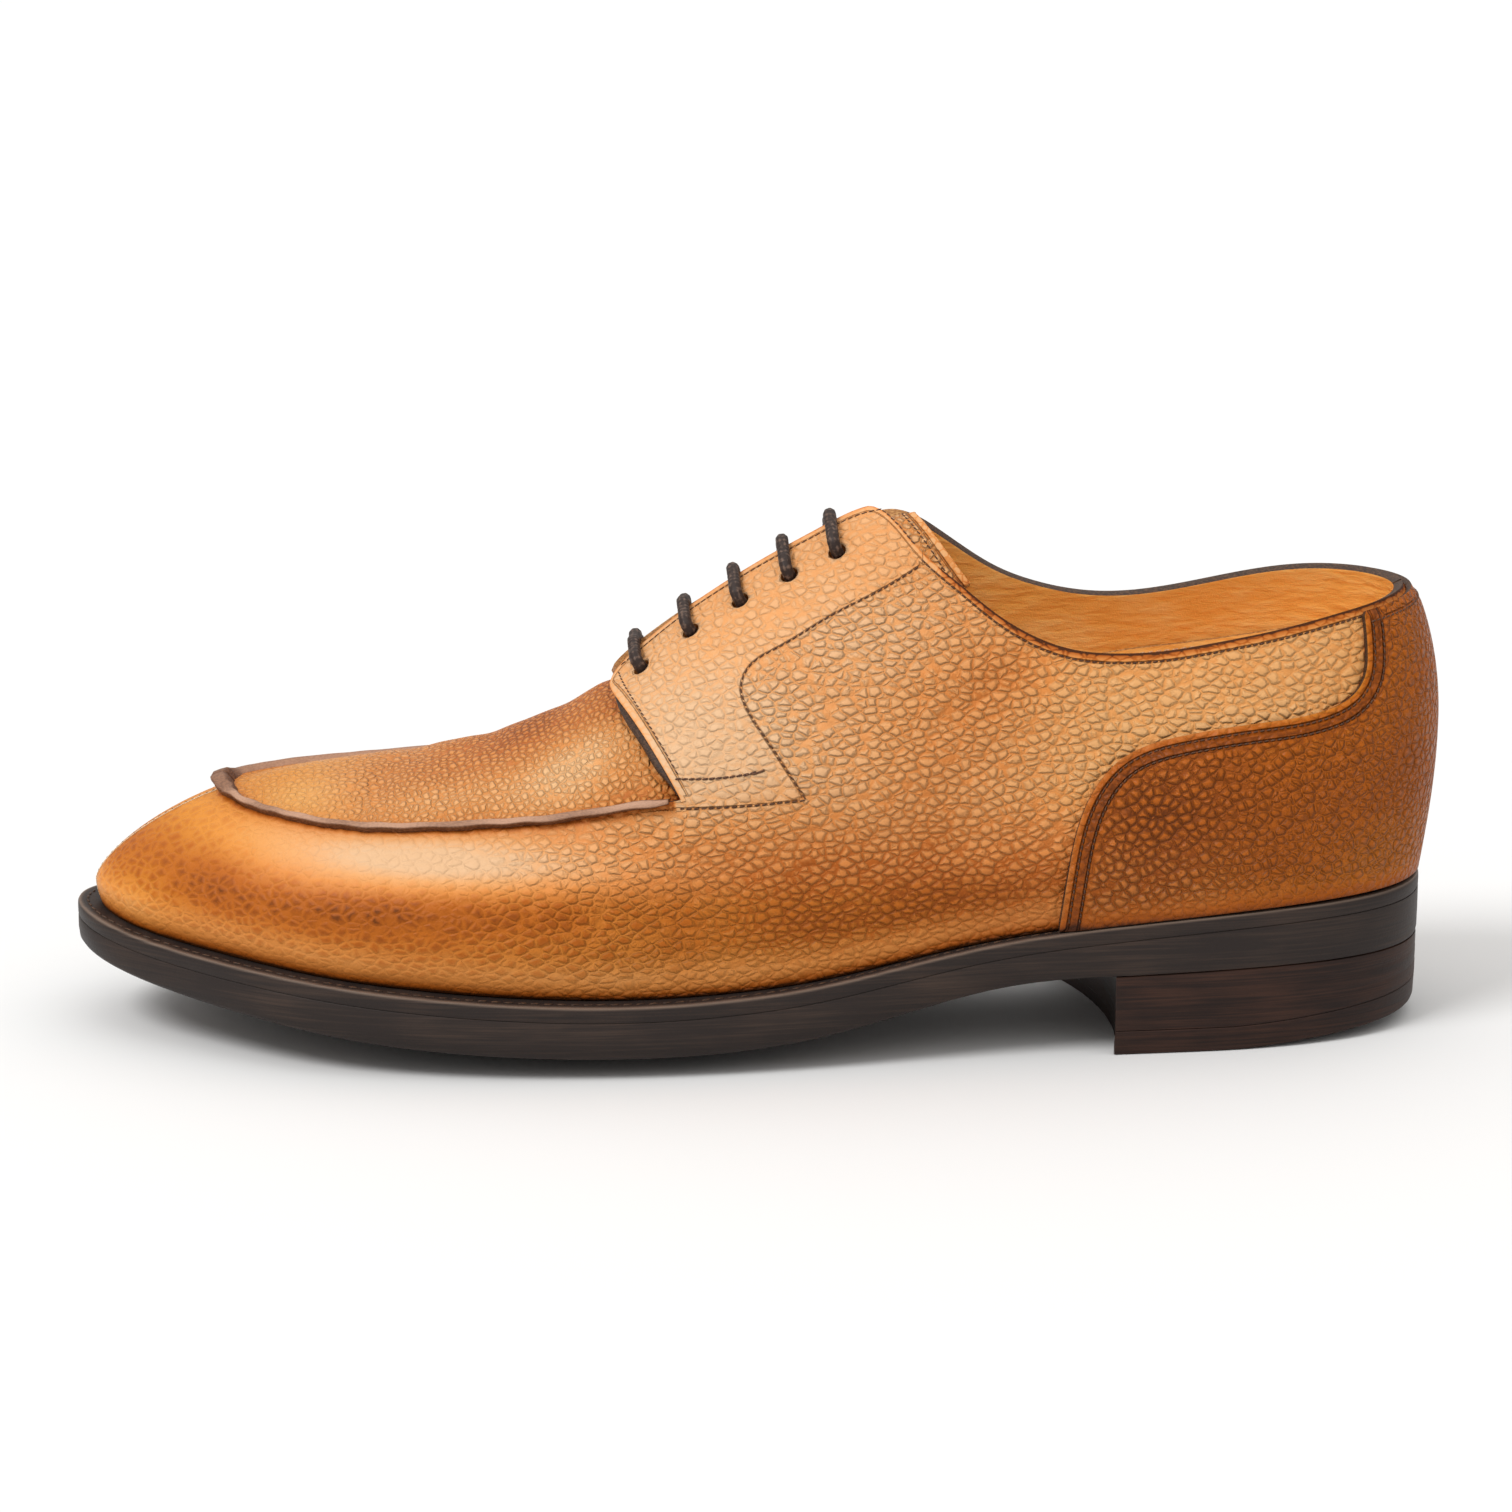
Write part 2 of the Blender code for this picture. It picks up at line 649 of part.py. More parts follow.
plate("outsole", (
    (1.0, sole_bottom),
    (0.0, lambda flat, share: sole_bottom(flat, share) + 1.2),
    (0.0, lambda flat, share: sole_top(flat, share) - WELT_THICK - GAP - 0.9),
    (0.7, lambda flat, share: sole_top(flat, share) - WELT_THICK - GAP),
), "sole_leather")
plate("welt", (
    (0.4, lambda flat, share: sole_top(flat, share) - WELT_THICK),
    (0.0, lambda flat, share: sole_top(flat, share) - 0.8),
    (0.9, sole_top),
), "sole_leather")
INSOLE_INSET = WALL + 0.6
plate("insole", (
    (INSOLE_INSET, lambda flat, share: sole_top(flat, share) + GAP),
    (INSOLE_INSET - 0.5, lambda flat, share: sole_top(flat, share) + GAP + INSOLE_THICK - 0.6),
    (INSOLE_INSET, lambda flat, share: sole_top(flat, share) + GAP + INSOLE_THICK),
), "lining_leather", INSOLE_LADDER, 1.0)


# Heel: stations from the breast back, the breast slanting forward on the inner side and hollow
def heel_floor(station):
    return HEEL_REAR_RISE * np.clip((46 - station / LONG) / 46, 0, 1) ** 1.3


def heel_flat(amount):
    # a ladder over the heel: rows from the back to the breast
    steps, across = 11, LADDER["across"]
    share = np.linspace(0, 1, across + 1)
    outer_end, inner_end = float(place(-1, BREAST_OUTER * LONG)), float(place(1, BREAST_INNER * LONG))
    run = np.sin(np.linspace(0, np.pi / 2, steps + 1)) * 0.3 + 0.7 * np.linspace(0, 1, steps + 1)
    outer = inset(outer_end * run, np.full(steps + 1, amount))
    inner = inset(1 - (1 - inner_end) * run, np.full(steps + 1, amount))
    flat = outer[:, None] * (1 - share)[None, :, None] + inner[:, None] * share[None, :, None]
    hollow = BREAST_HOLLOW * LONG * 4 * share * (1 - share)
    flat[..., 0] -= hollow[None, :] * (run[:, None] ** 3)
    return flat, share


def heel_plate(name, rims, slot):
    levels = []
    for amount, height in rims:
        flat, share = heel_flat(amount)
        level = np.dstack([CENTRE - flat[..., 0], flat[..., 1] - MIDDLE, height(flat, share[None, :])])
        levels.append(level)
    steps, across = levels[0].shape[:2]
    points = np.vstack([level.reshape(-1, 3) for level in levels])
    size = steps * across
    rim = [i * across for i in range(steps)] + [(steps - 1) * across + j for j in range(1, across)]
    rim += [i * across + across - 1 for i in range(steps - 2, -1, -1)]
    faces = [face[::-1] for face in grid_faces(steps, across)]
    faces += grid_faces(steps, across, (len(levels) - 1) * size)
    for level in range(len(levels) - 1):
        for a, b in zip(rim, rim[1:] + rim[:1]):
            low, up = level * size, (level + 1) * size
            faces.append((low + a, low + b, up + b, up + a))
    return add_plate(name, points, faces, slot)


def heel_rim(share_up):
    # a level of the heel stack between the top piece and the sole
    def height(flat, share):
        low = heel_floor(flat[..., 0]) + TOP_PIECE_THICK + GAP
        high = heel_under(flat) - GAP
        return low + (high - low) * share_up
    return height


def heel_under(flat):
    # the sole's underside over the heel, at the share of its own crossing
    share = crossing_share(flat)
    return sole_bottom(flat, share)


def crossing_share(flat):
    # where a point lies between the outer and the inner edge of the sole at its station
    outer = np.interp(flat[..., 0], *edge_run(-1))
    inner = np.interp(flat[..., 0], *edge_run(1))
    return np.clip((flat[..., 1] - outer) / (inner - outer), 0, 1)


def edge_run(side):
    ring = outline(fine[SIDE_RUN[side]])
    order = np.argsort(ring[:, 0])
    return ring[order, 0], ring[order, 1]


heel_plate("heel_top_piece", (
    (1.4, lambda flat, share: heel_floor(flat[..., 0])),
    (0.8, lambda flat, share: heel_floor(flat[..., 0]) + 0.8),
    (0.6, lambda flat, share: heel_floor(flat[..., 0]) + TOP_PIECE_THICK),
), "rubber")
heel_plate("heel_stack", (
    (0.6, heel_rim(0.0)), (0.5, heel_rim(0.46)), (1.1, heel_rim(0.50)), (0.5, heel_rim(0.54)),
    (0.4, heel_rim(1.0)),
), "sole_leather")


# Lace: one length in five straight bars, its runs between the lace tabs and the tongue
def lace_path():
    under, over = TAB_LIFT - WALL - 0.4 - LACE_RADIUS, TAB_LIFT + GAP + LACE_RADIUS
    bend = 2.0
    points = []

    def at(side, station, distance, height):
        s = place(side, station * LONG)
        tau = tau_by_distance(s, np.asarray(distance))
        return form(s, tau) + outward(s, tau) * height

    def hole_distance(station):
        return float(facing_distance(station * LONG)) + EYELET_INSET

    def frame_at(side, station):
        s, tau = eyelet(side, station)
        return form(s, tau), outward(s, tau)

    def through(side, station, towards, upward):
        # a quarter turn under the tab, the leg in the hole, and a quarter turn on top towards the facing edge
        base, normal = frame_at(side, station)
        inward = at(side, station, hole_distance(station) - 6, 0) - base
        inward -= normal * inward.dot(normal)
        inward /= np.linalg.norm(inward)
        along = towards - base
        along -= normal * along.dot(normal)
        along /= np.linalg.norm(along)
        leg = []
        for turn in np.radians((0, 30, 60, 90)):
            depth = under + bend * (1 - math.cos(turn))
            leg.append(base + along * bend * (1 - math.sin(turn)) + normal * depth)
        for turn in np.radians((0, 30, 60, 90)):
            depth = over - bend * (1 - math.sin(turn))
            leg.append(base + inward * bend * (1 - math.cos(turn)) + normal * depth)
        points.extend(leg if upward else leg[::-1])

    def run(side, first, second, shift):
        # under the tab from one hole towards another, passing any hole between them at a distance
        between = [first + (second - first) * k for k in (0.22, 0.36, 0.5, 0.64, 0.78)]
        ease = (0.62, 0.92, 1.0, 0.92, 0.62)
        for station, share in zip(between, ease):
            points.append(at(side, station, hole_distance(station) + shift * share, under))

    def bar(station, from_side):
        for side in (from_side, -from_side):
            edge = float(facing_distance(station * LONG)) - 0.9
            distances = np.array((0.75, 0.45, 0.1)) * EYELET_INSET + edge
            for distance in distances if side == from_side else distances[::-1]:
                points.append(at(side, station, distance, over))

    one, two, three, four, five = EYELETS
    outer, inner = -1, 1
    start = [
        at(outer, five + 3.6, hole_distance(five) - 3.4, under),
        at(outer, five + 6.0, hole_distance(five) - 1.6, under),
    ]
    points.extend(start)
    through(outer, four, start[-1], True)
    bar(four, outer)
    through(inner, four, at(inner, three, hole_distance(three) + 3.6, under), False)
    run(inner, four, two, 3.7)
    through(inner, two, at(inner, three, hole_distance(three) + 3.6, under), True)
    bar(two, inner)
    through(outer, two, at(outer, one, hole_distance(one), under), False)
    through(outer, one, at(outer, two, hole_distance(two), under), True)
    bar(one, outer)
    through(inner, one, at(inner, two, hole_distance(two) - 3.7, under), False)
    run(inner, one, three, -3.7)
    through(inner, three, at(inner, two, hole_distance(two) - 3.7, under), True)
    bar(three, inner)
    through(outer, three, at(outer, four, hole_distance(four) + 3.6, under), False)
    run(outer, three, five, 3.7)
    through(outer, five, at(outer, four, hole_distance(four) + 3.6, under), True)
    bar(five, outer)
    through(inner, five, at(inner, four, hole_distance(four) - 1.0, under), False)
    points.append(at(inner, five + 5.0, hole_distance(five) - 1.0, under))
    return np.array(points)


lace_line = lace_path()
tube("lace", lace_line, np.full(len(lace_line), LACE_RADIUS), "lace_cotton", 6)
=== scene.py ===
import math

import bpy
import numpy as np
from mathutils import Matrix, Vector
from mathutils.bvhtree import BVHTree


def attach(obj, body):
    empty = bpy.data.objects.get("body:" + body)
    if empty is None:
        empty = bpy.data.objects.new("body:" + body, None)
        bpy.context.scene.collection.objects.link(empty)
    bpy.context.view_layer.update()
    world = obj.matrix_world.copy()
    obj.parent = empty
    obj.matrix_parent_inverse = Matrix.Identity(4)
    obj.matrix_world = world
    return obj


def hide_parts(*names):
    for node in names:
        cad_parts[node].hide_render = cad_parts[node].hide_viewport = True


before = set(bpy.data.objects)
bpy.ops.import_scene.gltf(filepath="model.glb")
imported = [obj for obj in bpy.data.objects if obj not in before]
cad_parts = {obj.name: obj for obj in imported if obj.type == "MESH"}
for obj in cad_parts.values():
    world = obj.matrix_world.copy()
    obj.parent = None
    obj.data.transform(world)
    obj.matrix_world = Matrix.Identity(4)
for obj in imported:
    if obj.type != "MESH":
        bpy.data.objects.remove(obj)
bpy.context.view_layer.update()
mm = 0.001
print("frame loaded")

# Camera at the angle of the photograph
shot = {
    "azimuth": -2.5, "elevation": 14.0, "distance": 1.05, "focalPixels": 4590, "framePixels": 1512,
    "target": (-0.0002, -0.00085, 0.0612),
}


def addCamera():
    turn, tilt = math.radians(shot["azimuth"]), math.radians(shot["elevation"])
    back = Vector((math.sin(turn) * math.cos(tilt), -math.cos(turn) * math.cos(tilt), math.sin(tilt)))
    spot = Vector(shot["target"]) + back * shot["distance"]
    bpy.ops.object.camera_add(location=spot, rotation=back.to_track_quat("Z", "Y").to_euler())
    camera = bpy.context.object
    camera.data.lens = camera.data.sensor_width * shot["focalPixels"] / shot["framePixels"]
    camera.data.clip_start = 0.05
    bpy.context.scene.camera = camera


addCamera()
print("camera placed")

# The last, in millimetres: stations run from the back of the sole to its toe, offsets are
# negative on the outer side of the foot, heights start at the floor
last = {
    "length": 308.0, "overhang": 4.4, "middle": 0.85, "gap": 0.3, "wall": 2.2, "tabLift": 3.4,
    # station, offset of the sole's edge
    "outline": (
        (-1.2, 0), (5, -17.5), (28, -31), (72, -37), (120, -43), (163, -49.5), (195, -51.3), (230, -48.5),
        (260, -39.5), (287, -21.5), (302.5, -8), (308, 5), (301.5, 25), (280, 41), (250, 51), (217, 52.5),
        (182, 44.5), (147, 32.5), (110, 27), (72, 29), (28, 31), (5, 18.2),
    ),
    # station, height on the centre line, height at the edge, edge thickness, margin to the upper
    "sole": (
        (0, 19.6, 19.8, 14.2, 2.5), (40, 18.9, 19.2, 13.2, 2.5), (74, 17.5, 18.3, 11.6, 2.8),
        (99, 14.6, 16.6, 10.7, 3.2), (119, 9.8, 12.3, 11.4, 3.8), (140, 4.3, 7.6, 12.2, 4.4),
        (162, 0.7, 5.2, 12.5, 5.0), (180, -0.2, 4.7, 12.4, 5.2), (204, -0.2, 5.2, 12.4, 5.4),
        (225, 1.2, 6.4, 12.4, 5.5), (246, 4.0, 8.5, 12.0, 5.5), (267, 8.0, 11.2, 11.2, 5.5),
        (289, 12.8, 14.0, 10.3, 5.5), (308, 18.4, 18.5, 9.6, 5.5),
    ),
    # station, height of the widest point above the welt, bulge, roundness
    "sections": (
        (0, 36, 3.4, 2.05), (28, 27, 3.6, 1.8), (60, 20, 3.6, 1.55), (92, 17, 3.2, 1.62),
        (112, 16.5, 3.0, 1.78), (135, 16, 3.0, 1.8), (170, 16, 3.6, 1.8), (200, 14, 4.4, 1.9),
        (240, 12, 4.0, 2.0), (275, 9, 2.6, 1.8), (303, 5, 1.0, 1.5),
    ),
    # station of the foot edge, station of its ridge point
    "spine": (
        (0, 38), (20, 45), (60, 68), (100, 101), (150, 150), (200, 200), (235, 229), (265, 246), (290, 254),
        (308, 257),
    ),
    "spineOffset": ((30, -1), (100, 0), (150, 2), (200, 6), (240, 9), (262, 9.5)),
    "ridge": (
        (38, 125), (70, 125), (95, 124), (108, 122), (118, 120), (128, 117.4), (137, 112.8), (147, 107.2),
        (158, 100.3), (169, 92.3), (180, 82.8), (186, 78), (197, 71.4), (206, 67), (220, 62.3), (235, 59.2),
        (247, 57.8), (257, 57),
    ),
}


def spline(rows, column=1):
    # a smooth curve through the rows of a table, level past its ends
    rows = np.array([(row[0], row[column]) for row in rows], float)
    at, value = rows[:, 0], rows[:, 1]
    step = np.diff(at)
    count = len(at)
    matrix, right = np.eye(count), np.zeros(count)
    for i in range(1, count - 1):
        matrix[i, i - 1:i + 2] = step[i - 1], 2 * (step[i - 1] + step[i]), step[i]
        right[i] = 6 * ((value[i + 1] - value[i]) / step[i] - (value[i] - value[i - 1]) / step[i - 1])
    bend = np.linalg.solve(matrix, right)

    def valueAt(x):
        x = np.clip(np.asarray(x, float), at[0], at[-1])
        i = np.clip(np.searchsorted(at, x) - 1, 0, count - 2)
        before, after, size = at[i + 1] - x, x - at[i], step[i]
        curve = (bend[i] * before ** 3 + bend[i + 1] * after ** 3) / (6 * size)
        curve = curve + (value[i] / size - bend[i] * size / 6) * before
        return curve + (value[i + 1] / size - bend[i + 1] * size / 6) * after

    return valueAt


def smooth(value):
    value = np.clip(value, 0, 1)
    return value * value * (3 - 2 * value)


def unit(vectors):
    return vectors / np.linalg.norm(vectors, axis=-1, keepdims=True)


def lengths(path):
    return np.r_[0, np.cumsum(np.linalg.norm(np.diff(path, axis=0), axis=1))]


def pathAt(path, at):
    # places on a smooth line through the points of a path, at distances along it
    run = lengths(path)
    return np.stack([spline(np.c_[run, path[:, k]])(at) for k in range(path.shape[1])], -1)


def toLast(points, axis):
    # how far each point of a grid lies from the grid's last edge, along the grid
    step = np.linalg.norm(np.diff(points, axis=axis), axis=-1)
    start = np.zeros_like(np.take(step, [0], axis=axis))
    run = np.concatenate([start, np.cumsum(step, axis=axis)], axis=axis)
    return np.take(run, [-1], axis=axis) - run


def closedCurve(points):
    ring = np.array(points, float)
    three = np.vstack([ring, ring, ring])
    run = lengths(three)
    along, across = spline(np.c_[run, three[:, 0]]), spline(np.c_[run, three[:, 1]])
    start, end = run[len(ring)], run[2 * len(ring)]

    def pointAt(s):
        k = start + (np.asarray(s, float) % 1.0) * (end - start)
        return np.stack([along(k), across(k)], -1)

    return pointAt


centre = (last["length"] - last["overhang"]) / 2
outline = closedCurve(last["outline"])
soleCentre, soleEdge, soleThick, soleMargin = [spline(last["sole"], k) for k in (1, 2, 3, 4)]
widest, bulge, roundness = [spline(last["sections"], k) for k in (1, 2, 3)]
spine, spineOffset, ridge = spline(last["spine"]), spline(last["spineOffset"]), spline(last["ridge"])


def inset(s, amount):
    # a point of the sole's outline moved inwards
    s = np.asarray(s, float)
    along = unit(outline(s + 1e-4) - outline(s - 1e-4))
    inward = np.stack([-along[..., 1], along[..., 0]], -1)
    return outline(s) + inward * np.asarray(amount, float)[..., None]


def footEdge(s):
    return inset(s, soleMargin(outline(s)[..., 0]))


fineRun = np.linspace(0, 1, 8001)
fineEdge = footEdge(fineRun)[:, 0]
toeTip = float(fineRun[np.argmax(fineEdge)])
sideRuns = {-1: fineRun <= toeTip, 1: fineRun >= toeTip}


def place(side, station):
    # where the foot edge of a side reaches a station
    run, at = fineRun[sideRuns[side]], fineEdge[sideRuns[side]]
    order = np.argsort(at)
    return np.interp(station, at[order], run[order])


def halfSection(s):
    # station, ridge point, way out to the edge, width, and the heights of the edge, widest point and ridge
    edge = footEdge(s)
    station = edge[..., 0]
    at = spine(station)
    top = np.stack([at, spineOffset(at)], -1)
    width = np.linalg.norm(edge - top, axis=-1)
    low = soleEdge(station) + soleThick(station) + last["gap"]
    return station, top, (edge - top) / width[..., None], width, low, low + widest(station), ridge(at)


def standing(flat, height):
    # a flat place of the last and a height, as a point
    return np.stack([centre - flat[..., 0], flat[..., 1] - last["middle"], height], -1)


def form(s, tau):
    # tau is -1 at the foot edge, 0 at the widest height and 1 on the ridge
    s, tau = np.broadcast_arrays(np.asarray(s, float), np.asarray(tau, float))
    station, top, away, width, low, wideAt, high = halfSection(s)
    puff, power = bulge(station), roundness(station)
    upper, lower = np.clip(tau, 0, 1) * np.pi / 2, (1 + np.clip(tau, -1, 0)) * np.pi / 2
    reach = np.where(tau >= 0, (width + puff) * np.cos(upper) ** (2 / power), width + puff * np.sin(lower))
    rise = np.where(tau >= 0, wideAt + (high - wideAt) * np.sin(upper) ** (2 / power),
                    wideAt + (wideAt - low) * np.clip(tau, -1, 0))
    return standing(top + away * reach[..., None], rise)


def tauByDistance(s, distance):
    station, top, away, width, low, wideAt, high = halfSection(s)
    share = np.clip(distance / (width + bulge(station)), 0, 1)
    return np.arccos(share ** (roundness(station) / 2)) / (np.pi / 2)


def tauByHeight(s, height):
    station, top, away, width, low, wideAt, high = halfSection(s)
    share = np.clip((height - wideAt) / (high - wideAt), 0, 0.999)
    return np.arcsin(share ** (roundness(station) / 2)) / (np.pi / 2)


def tauAtHeight(s, height):
    # as above, and below the widest point as well
    low, wideAt = halfSection(s)[4:6]
    lower = np.clip((height - low) / (wideAt - low) - 1, -0.94, 0)
    return np.where(height < wideAt, lower, tauByHeight(s, height))


def outward(s, tau):
    s, tau = np.broadcast_arrays(np.asarray(s, float), np.asarray(tau, float))
    tau = np.clip(tau, -0.98, 0.985)
    along = form(s + 5e-4, tau) - form(s - 5e-4, tau)
    up = form(s, tau + 0.01) - form(s, tau - 0.01)
    normal = unit(np.cross(along, up))
    away = halfSection(s)[2]
    facing = -normal[..., 0] * away[..., 0] + normal[..., 1] * away[..., 1] + 0.5 * normal[..., 2]
    return normal * np.where(facing < 0, -1, 1)[..., None]


def overForm(s, tau, height):
    return form(s, tau) + outward(s, tau) * np.asarray(height, float)[..., None]


# Lines on the last that several pieces share
lines = {
    "tabCorner": 170.0, "tabSlant": 13.0, "tabCurve": 1.9, "tabRound": 7.0, "beltHeight": 60.9,
    "tabRear": 118, "facingEnd": 117, "blend": 5.0,
    "eyelets": (176.0, 165.3, 154.6, 144.0, 133.5), "eyeletInset": 9.0, "eyeletRadius": 2.1,
    # station, height of the apron seam
    "seam": (
        (168, 61), (197, 56), (219, 53.4), (245, 51.8), (265, 52), (280, 52.3), (290, 52.8), (303, 53.3),
    ),
    # station, distance of the facing edge from the ridge
    "facing": ((110, 5), (140, 5.2), (190, 6.5)), "innerFacing": 2.6,
    # station, height of the collar
    "collarOuter": (
        (0, 101.3), (20, 98.2), (33, 95.6), (50, 92.6), (61, 91.0), (72, 90.6), (81, 91.4), (89, 93.8),
        (101, 100.4), (108, 105.4), (116, 111), (124, 119), (134, 131),
    ),
    "collarInner": (
        (0, 101.3), (20, 100.6), (40, 97.6), (59, 95), (71, 95), (84, 97.4), (97, 102.6), (108, 109.6),
        (116, 115), (124, 122), (134, 133),
    ),
}
seamHeight, facingDistance = spline(lines["seam"]), spline(lines["facing"])
collar = {-1: spline(lines["collarOuter"]), 1: spline(lines["collarInner"])}


def seamTau(s, inside=0.0):
    tau = tauByHeight(s, seamHeight(footEdge(s)[..., 0]))
    rate = np.linalg.norm(form(s, tau + 0.01) - form(s, tau - 0.01), axis=-1) / 0.02
    return tau + inside / rate


def facingAt(station, side):
    # the inner facing edge lies a little lower than the outer one
    lowered = lines["innerFacing"] * (1 + 0.9 * smooth((station - 135) / 45))
    return facingDistance(station) + (lowered if side > 0 else 0.0)


def topTau(s, side):
    # the lower of the facing edge and the collar, blended, with the front corner of the tab rounded
    station = footEdge(s)[..., 0]
    frontEnd = lines["tabCorner"] + lines["tabSlant"]
    turn = np.clip((station - frontEnd + lines["tabRound"]) / lines["tabRound"], 0, 1)
    rounding = lines["tabRound"] * (1 - np.sqrt(1 - 0.98 * turn ** 2))
    facing = tauByDistance(s, facingAt(station, side) + rounding)
    facingHeight, collarHeight = form(s, facing)[..., 2], collar[side](station)
    lower = np.minimum(facingHeight, collarHeight)
    blend = np.clip(lines["blend"] - np.abs(facingHeight - collarHeight), 0, None) ** 2 / (4 * lines["blend"])
    return np.where(collarHeight - facingHeight > lines["blend"], facing, tauByHeight(s, lower - blend))


def tabLift(s, tau):
    # how far the side's outer face stands off the last round the lace tabs
    point = form(s, tau)
    station, height = centre - point[..., 0], point[..., 2]
    rear = smooth((station - 92) / 38)
    front = 1 - smooth((station - 176) / 26)
    rise = smooth((height - lines["beltHeight"] + 18) / 27)
    return last["tabLift"] * rear * np.where(height < lines["beltHeight"] + 4, front, 1.0) * rise


def onFace(s, tau, more=0.0):
    # a point of the side's outer face, or one that stands off it
    return overForm(s, tau, tabLift(s, tau) + more)


def tabLean(rise):
    # share of the slant that the front edge of a lace tab has at a share of its rise
    return 1 - (1 - rise) ** lines["tabCurve"]


def eyeletSpot(side, station):
    s = place(side, station)
    return s, tauByDistance(s, facingDistance(station) + lines["eyeletInset"])


print("last worked out, toe tip at", round(toeTip, 4))


# Shader sums are written as plain expressions
class Wire:
    def __init__(self, work, socket):
        self.work, self.socket = work, socket

    def sum(self, operation, *values):
        return self.work.node("Math", {"operation": operation}, dict(enumerate(values)))

    def __add__(self, other):
        return self.sum("ADD", self, other)

    def __sub__(self, other):
        return self.sum("SUBTRACT", self, other)

    def __rsub__(self, other):
        return self.sum("SUBTRACT", other, self)

    def __mul__(self, other):
        return self.sum("MULTIPLY", self, other)

    def __abs__(self):
        return self.sum("ABSOLUTE", self)

    def most(self, other):
        return self.sum("MAXIMUM", self, other)

    def ease(self, low, high):
        # 0 below low, 1 above high, soft between
        return self.work.node("MapRange", {"interpolation_type": "SMOOTHSTEP"}, {0: self, 1: low, 2: high})

    __radd__ = __add__
    __rmul__ = __mul__


class NodeWork:
    # adds nodes to one tree
    def __init__(self, tree):
        self.tree = tree

    def feed(self, entry, value):
        if isinstance(value, Wire):
            self.tree.links.new(value.socket, entry)
        else:
            entry.default_value = value

    def node(self, kind, settings, sockets, output=0):
        made = self.tree.nodes.new("ShaderNode" + kind)
        for key, value in settings.items():
            if key == "stops":
                for stop, (at, colour) in zip(self.rampStops(made, len(value)), value):
                    stop.position, stop.color = at, (*colour, 1)
            else:
                setattr(made, key, value)
        for key, value in sockets.items():
            self.feed(made.inputs[key], value)
        return Wire(self, made.outputs[output])

    def rampStops(self, made, count):
        while len(made.color_ramp.elements) < count:
            made.color_ramp.elements.new(0.5)
        return made.color_ramp.elements


class Finish(NodeWork):
    # one material, with its shader ready
    def __init__(self, name, **constants):
        self.material = bpy.data.materials.new(name)
        self.material.use_nodes = True
        super().__init__(self.material.node_tree)
        self.shader = self.tree.nodes["Principled BSDF"]
        for socketName, value in constants.items():
            self.shader.inputs[socketName.replace("_", " ")].default_value = value

    def spot(self, scale=(1, 1, 1), turn=(0, 0, 0)):
        # the place on the piece, in units of a pattern's own size in millimetres, and turned
        here = self.node("TexCoord", {}, {}, "Object")
        perMetre = [1000 / size for size in scale]
        return self.node("Mapping", {}, {"Vector": here, "Scale": perMetre, "Rotation": turn})

    def mark(self, name):
        return self.node("Attribute", {"attribute_name": name}, {}, "Fac")

    def noise(self, spot, detail=2.0, rough=0.5, output="Fac"):
        sockets = {"Vector": spot, "Scale": 1.0, "Detail": detail, "Roughness": rough}
        return self.node("TexNoise", {}, sockets, output)

    def warp(self, spot, amount, size):
        # bends a pattern by noise
        swirl = self.noise(self.spot((size, size, size)), 1.0, 0.5, "Color")
        return self.node("VectorMath", {"operation": "MULTIPLY_ADD"}, {0: swirl, 1: (amount,) * 3, 2: spot})

    def mix(self, share, first, second, blend="MIX"):
        settings = {"data_type": "RGBA", "blend_type": blend, "clamp_factor": True}
        values = [value if isinstance(value, Wire) else (*value, 1) for value in (first, second)]
        return self.node("Mix", settings, {0: share, 6: values[0], 7: values[1]}, 2)

    def ramp(self, value, stops):
        return self.node("ValToRGB", {"stops": stops}, {0: value}, "Color")

    def done(self, colour, rough=None, height=None, depth=0.2):
        # depth is the relief of a height of one, in millimetres
        entries = {"Base Color": colour}
        if rough is not None:
            entries["Roughness"] = rough
        if height is not None:
            sockets = {"Height": height, "Distance": depth * mm, "Strength": 1.0}
            entries["Normal"] = self.node("Bump", {}, sockets, "Normal")
        for name, value in entries.items():
            self.feed(self.shader.inputs[name], value)
        return self.material


# Pebbled leather: tone picks the colour, grain the relief, net the pale veins of toe, low sides and heel,
# rim the cut edge, stitch the groove of a row, honey the yellower places
grainLook = {
    "side": {
        "cell": (2.8, 2.8, 1.8), "warp": 0.42, "depth": 0.95, "fine": 0.08, "rough": 0.46, "coat": 0.03,
        "shine": 0.13, "crease": 0.22, "dome": 0.80, "honey": (1.0, 1.06, 0.45),
        "stops": ((0.0, (0.63, 0.390, 0.215)), (0.25, (0.66, 0.312, 0.118)), (0.50, (0.61, 0.220, 0.056)),
                  (0.75, (0.40, 0.100, 0.012)), (0.88, (0.27, 0.060, 0.006)), (1.0, (0.06, 0.016, 0.003))),
    },
    "apron": {
        "cell": (1.7, 2.3, 1.7), "warp": 0.50, "depth": 1.15, "fine": 0.12, "rough": 0.42, "coat": 0.05,
        "shine": 0.15, "crease": 0.36, "dome": 1.0, "honey": (1.0, 1.04, 0.60),
        "stops": ((0.0, (0.65, 0.375, 0.175)), (0.25, (0.63, 0.295, 0.105)), (0.50, (0.56, 0.205, 0.046)),
                  (0.75, (0.40, 0.104, 0.014)), (1.0, (0.05, 0.014, 0.003))),
    },
    "counter": {
        "cell": (2.3, 2.3, 2.0), "warp": 0.34, "depth": 1.45, "fine": 0.07, "rough": 0.38, "coat": 0.03,
        "shine": 0.13, "crease": 0.36, "dome": 1.3, "honey": (1.0, 0.97, 0.40),
        "stops": ((0.0, (0.58, 0.270, 0.090)), (0.25, (0.49, 0.160, 0.034)), (0.50, (0.37, 0.090, 0.007)),
                  (0.75, (0.24, 0.054, 0.004)), (1.0, (0.05, 0.013, 0.003))),
    },
}

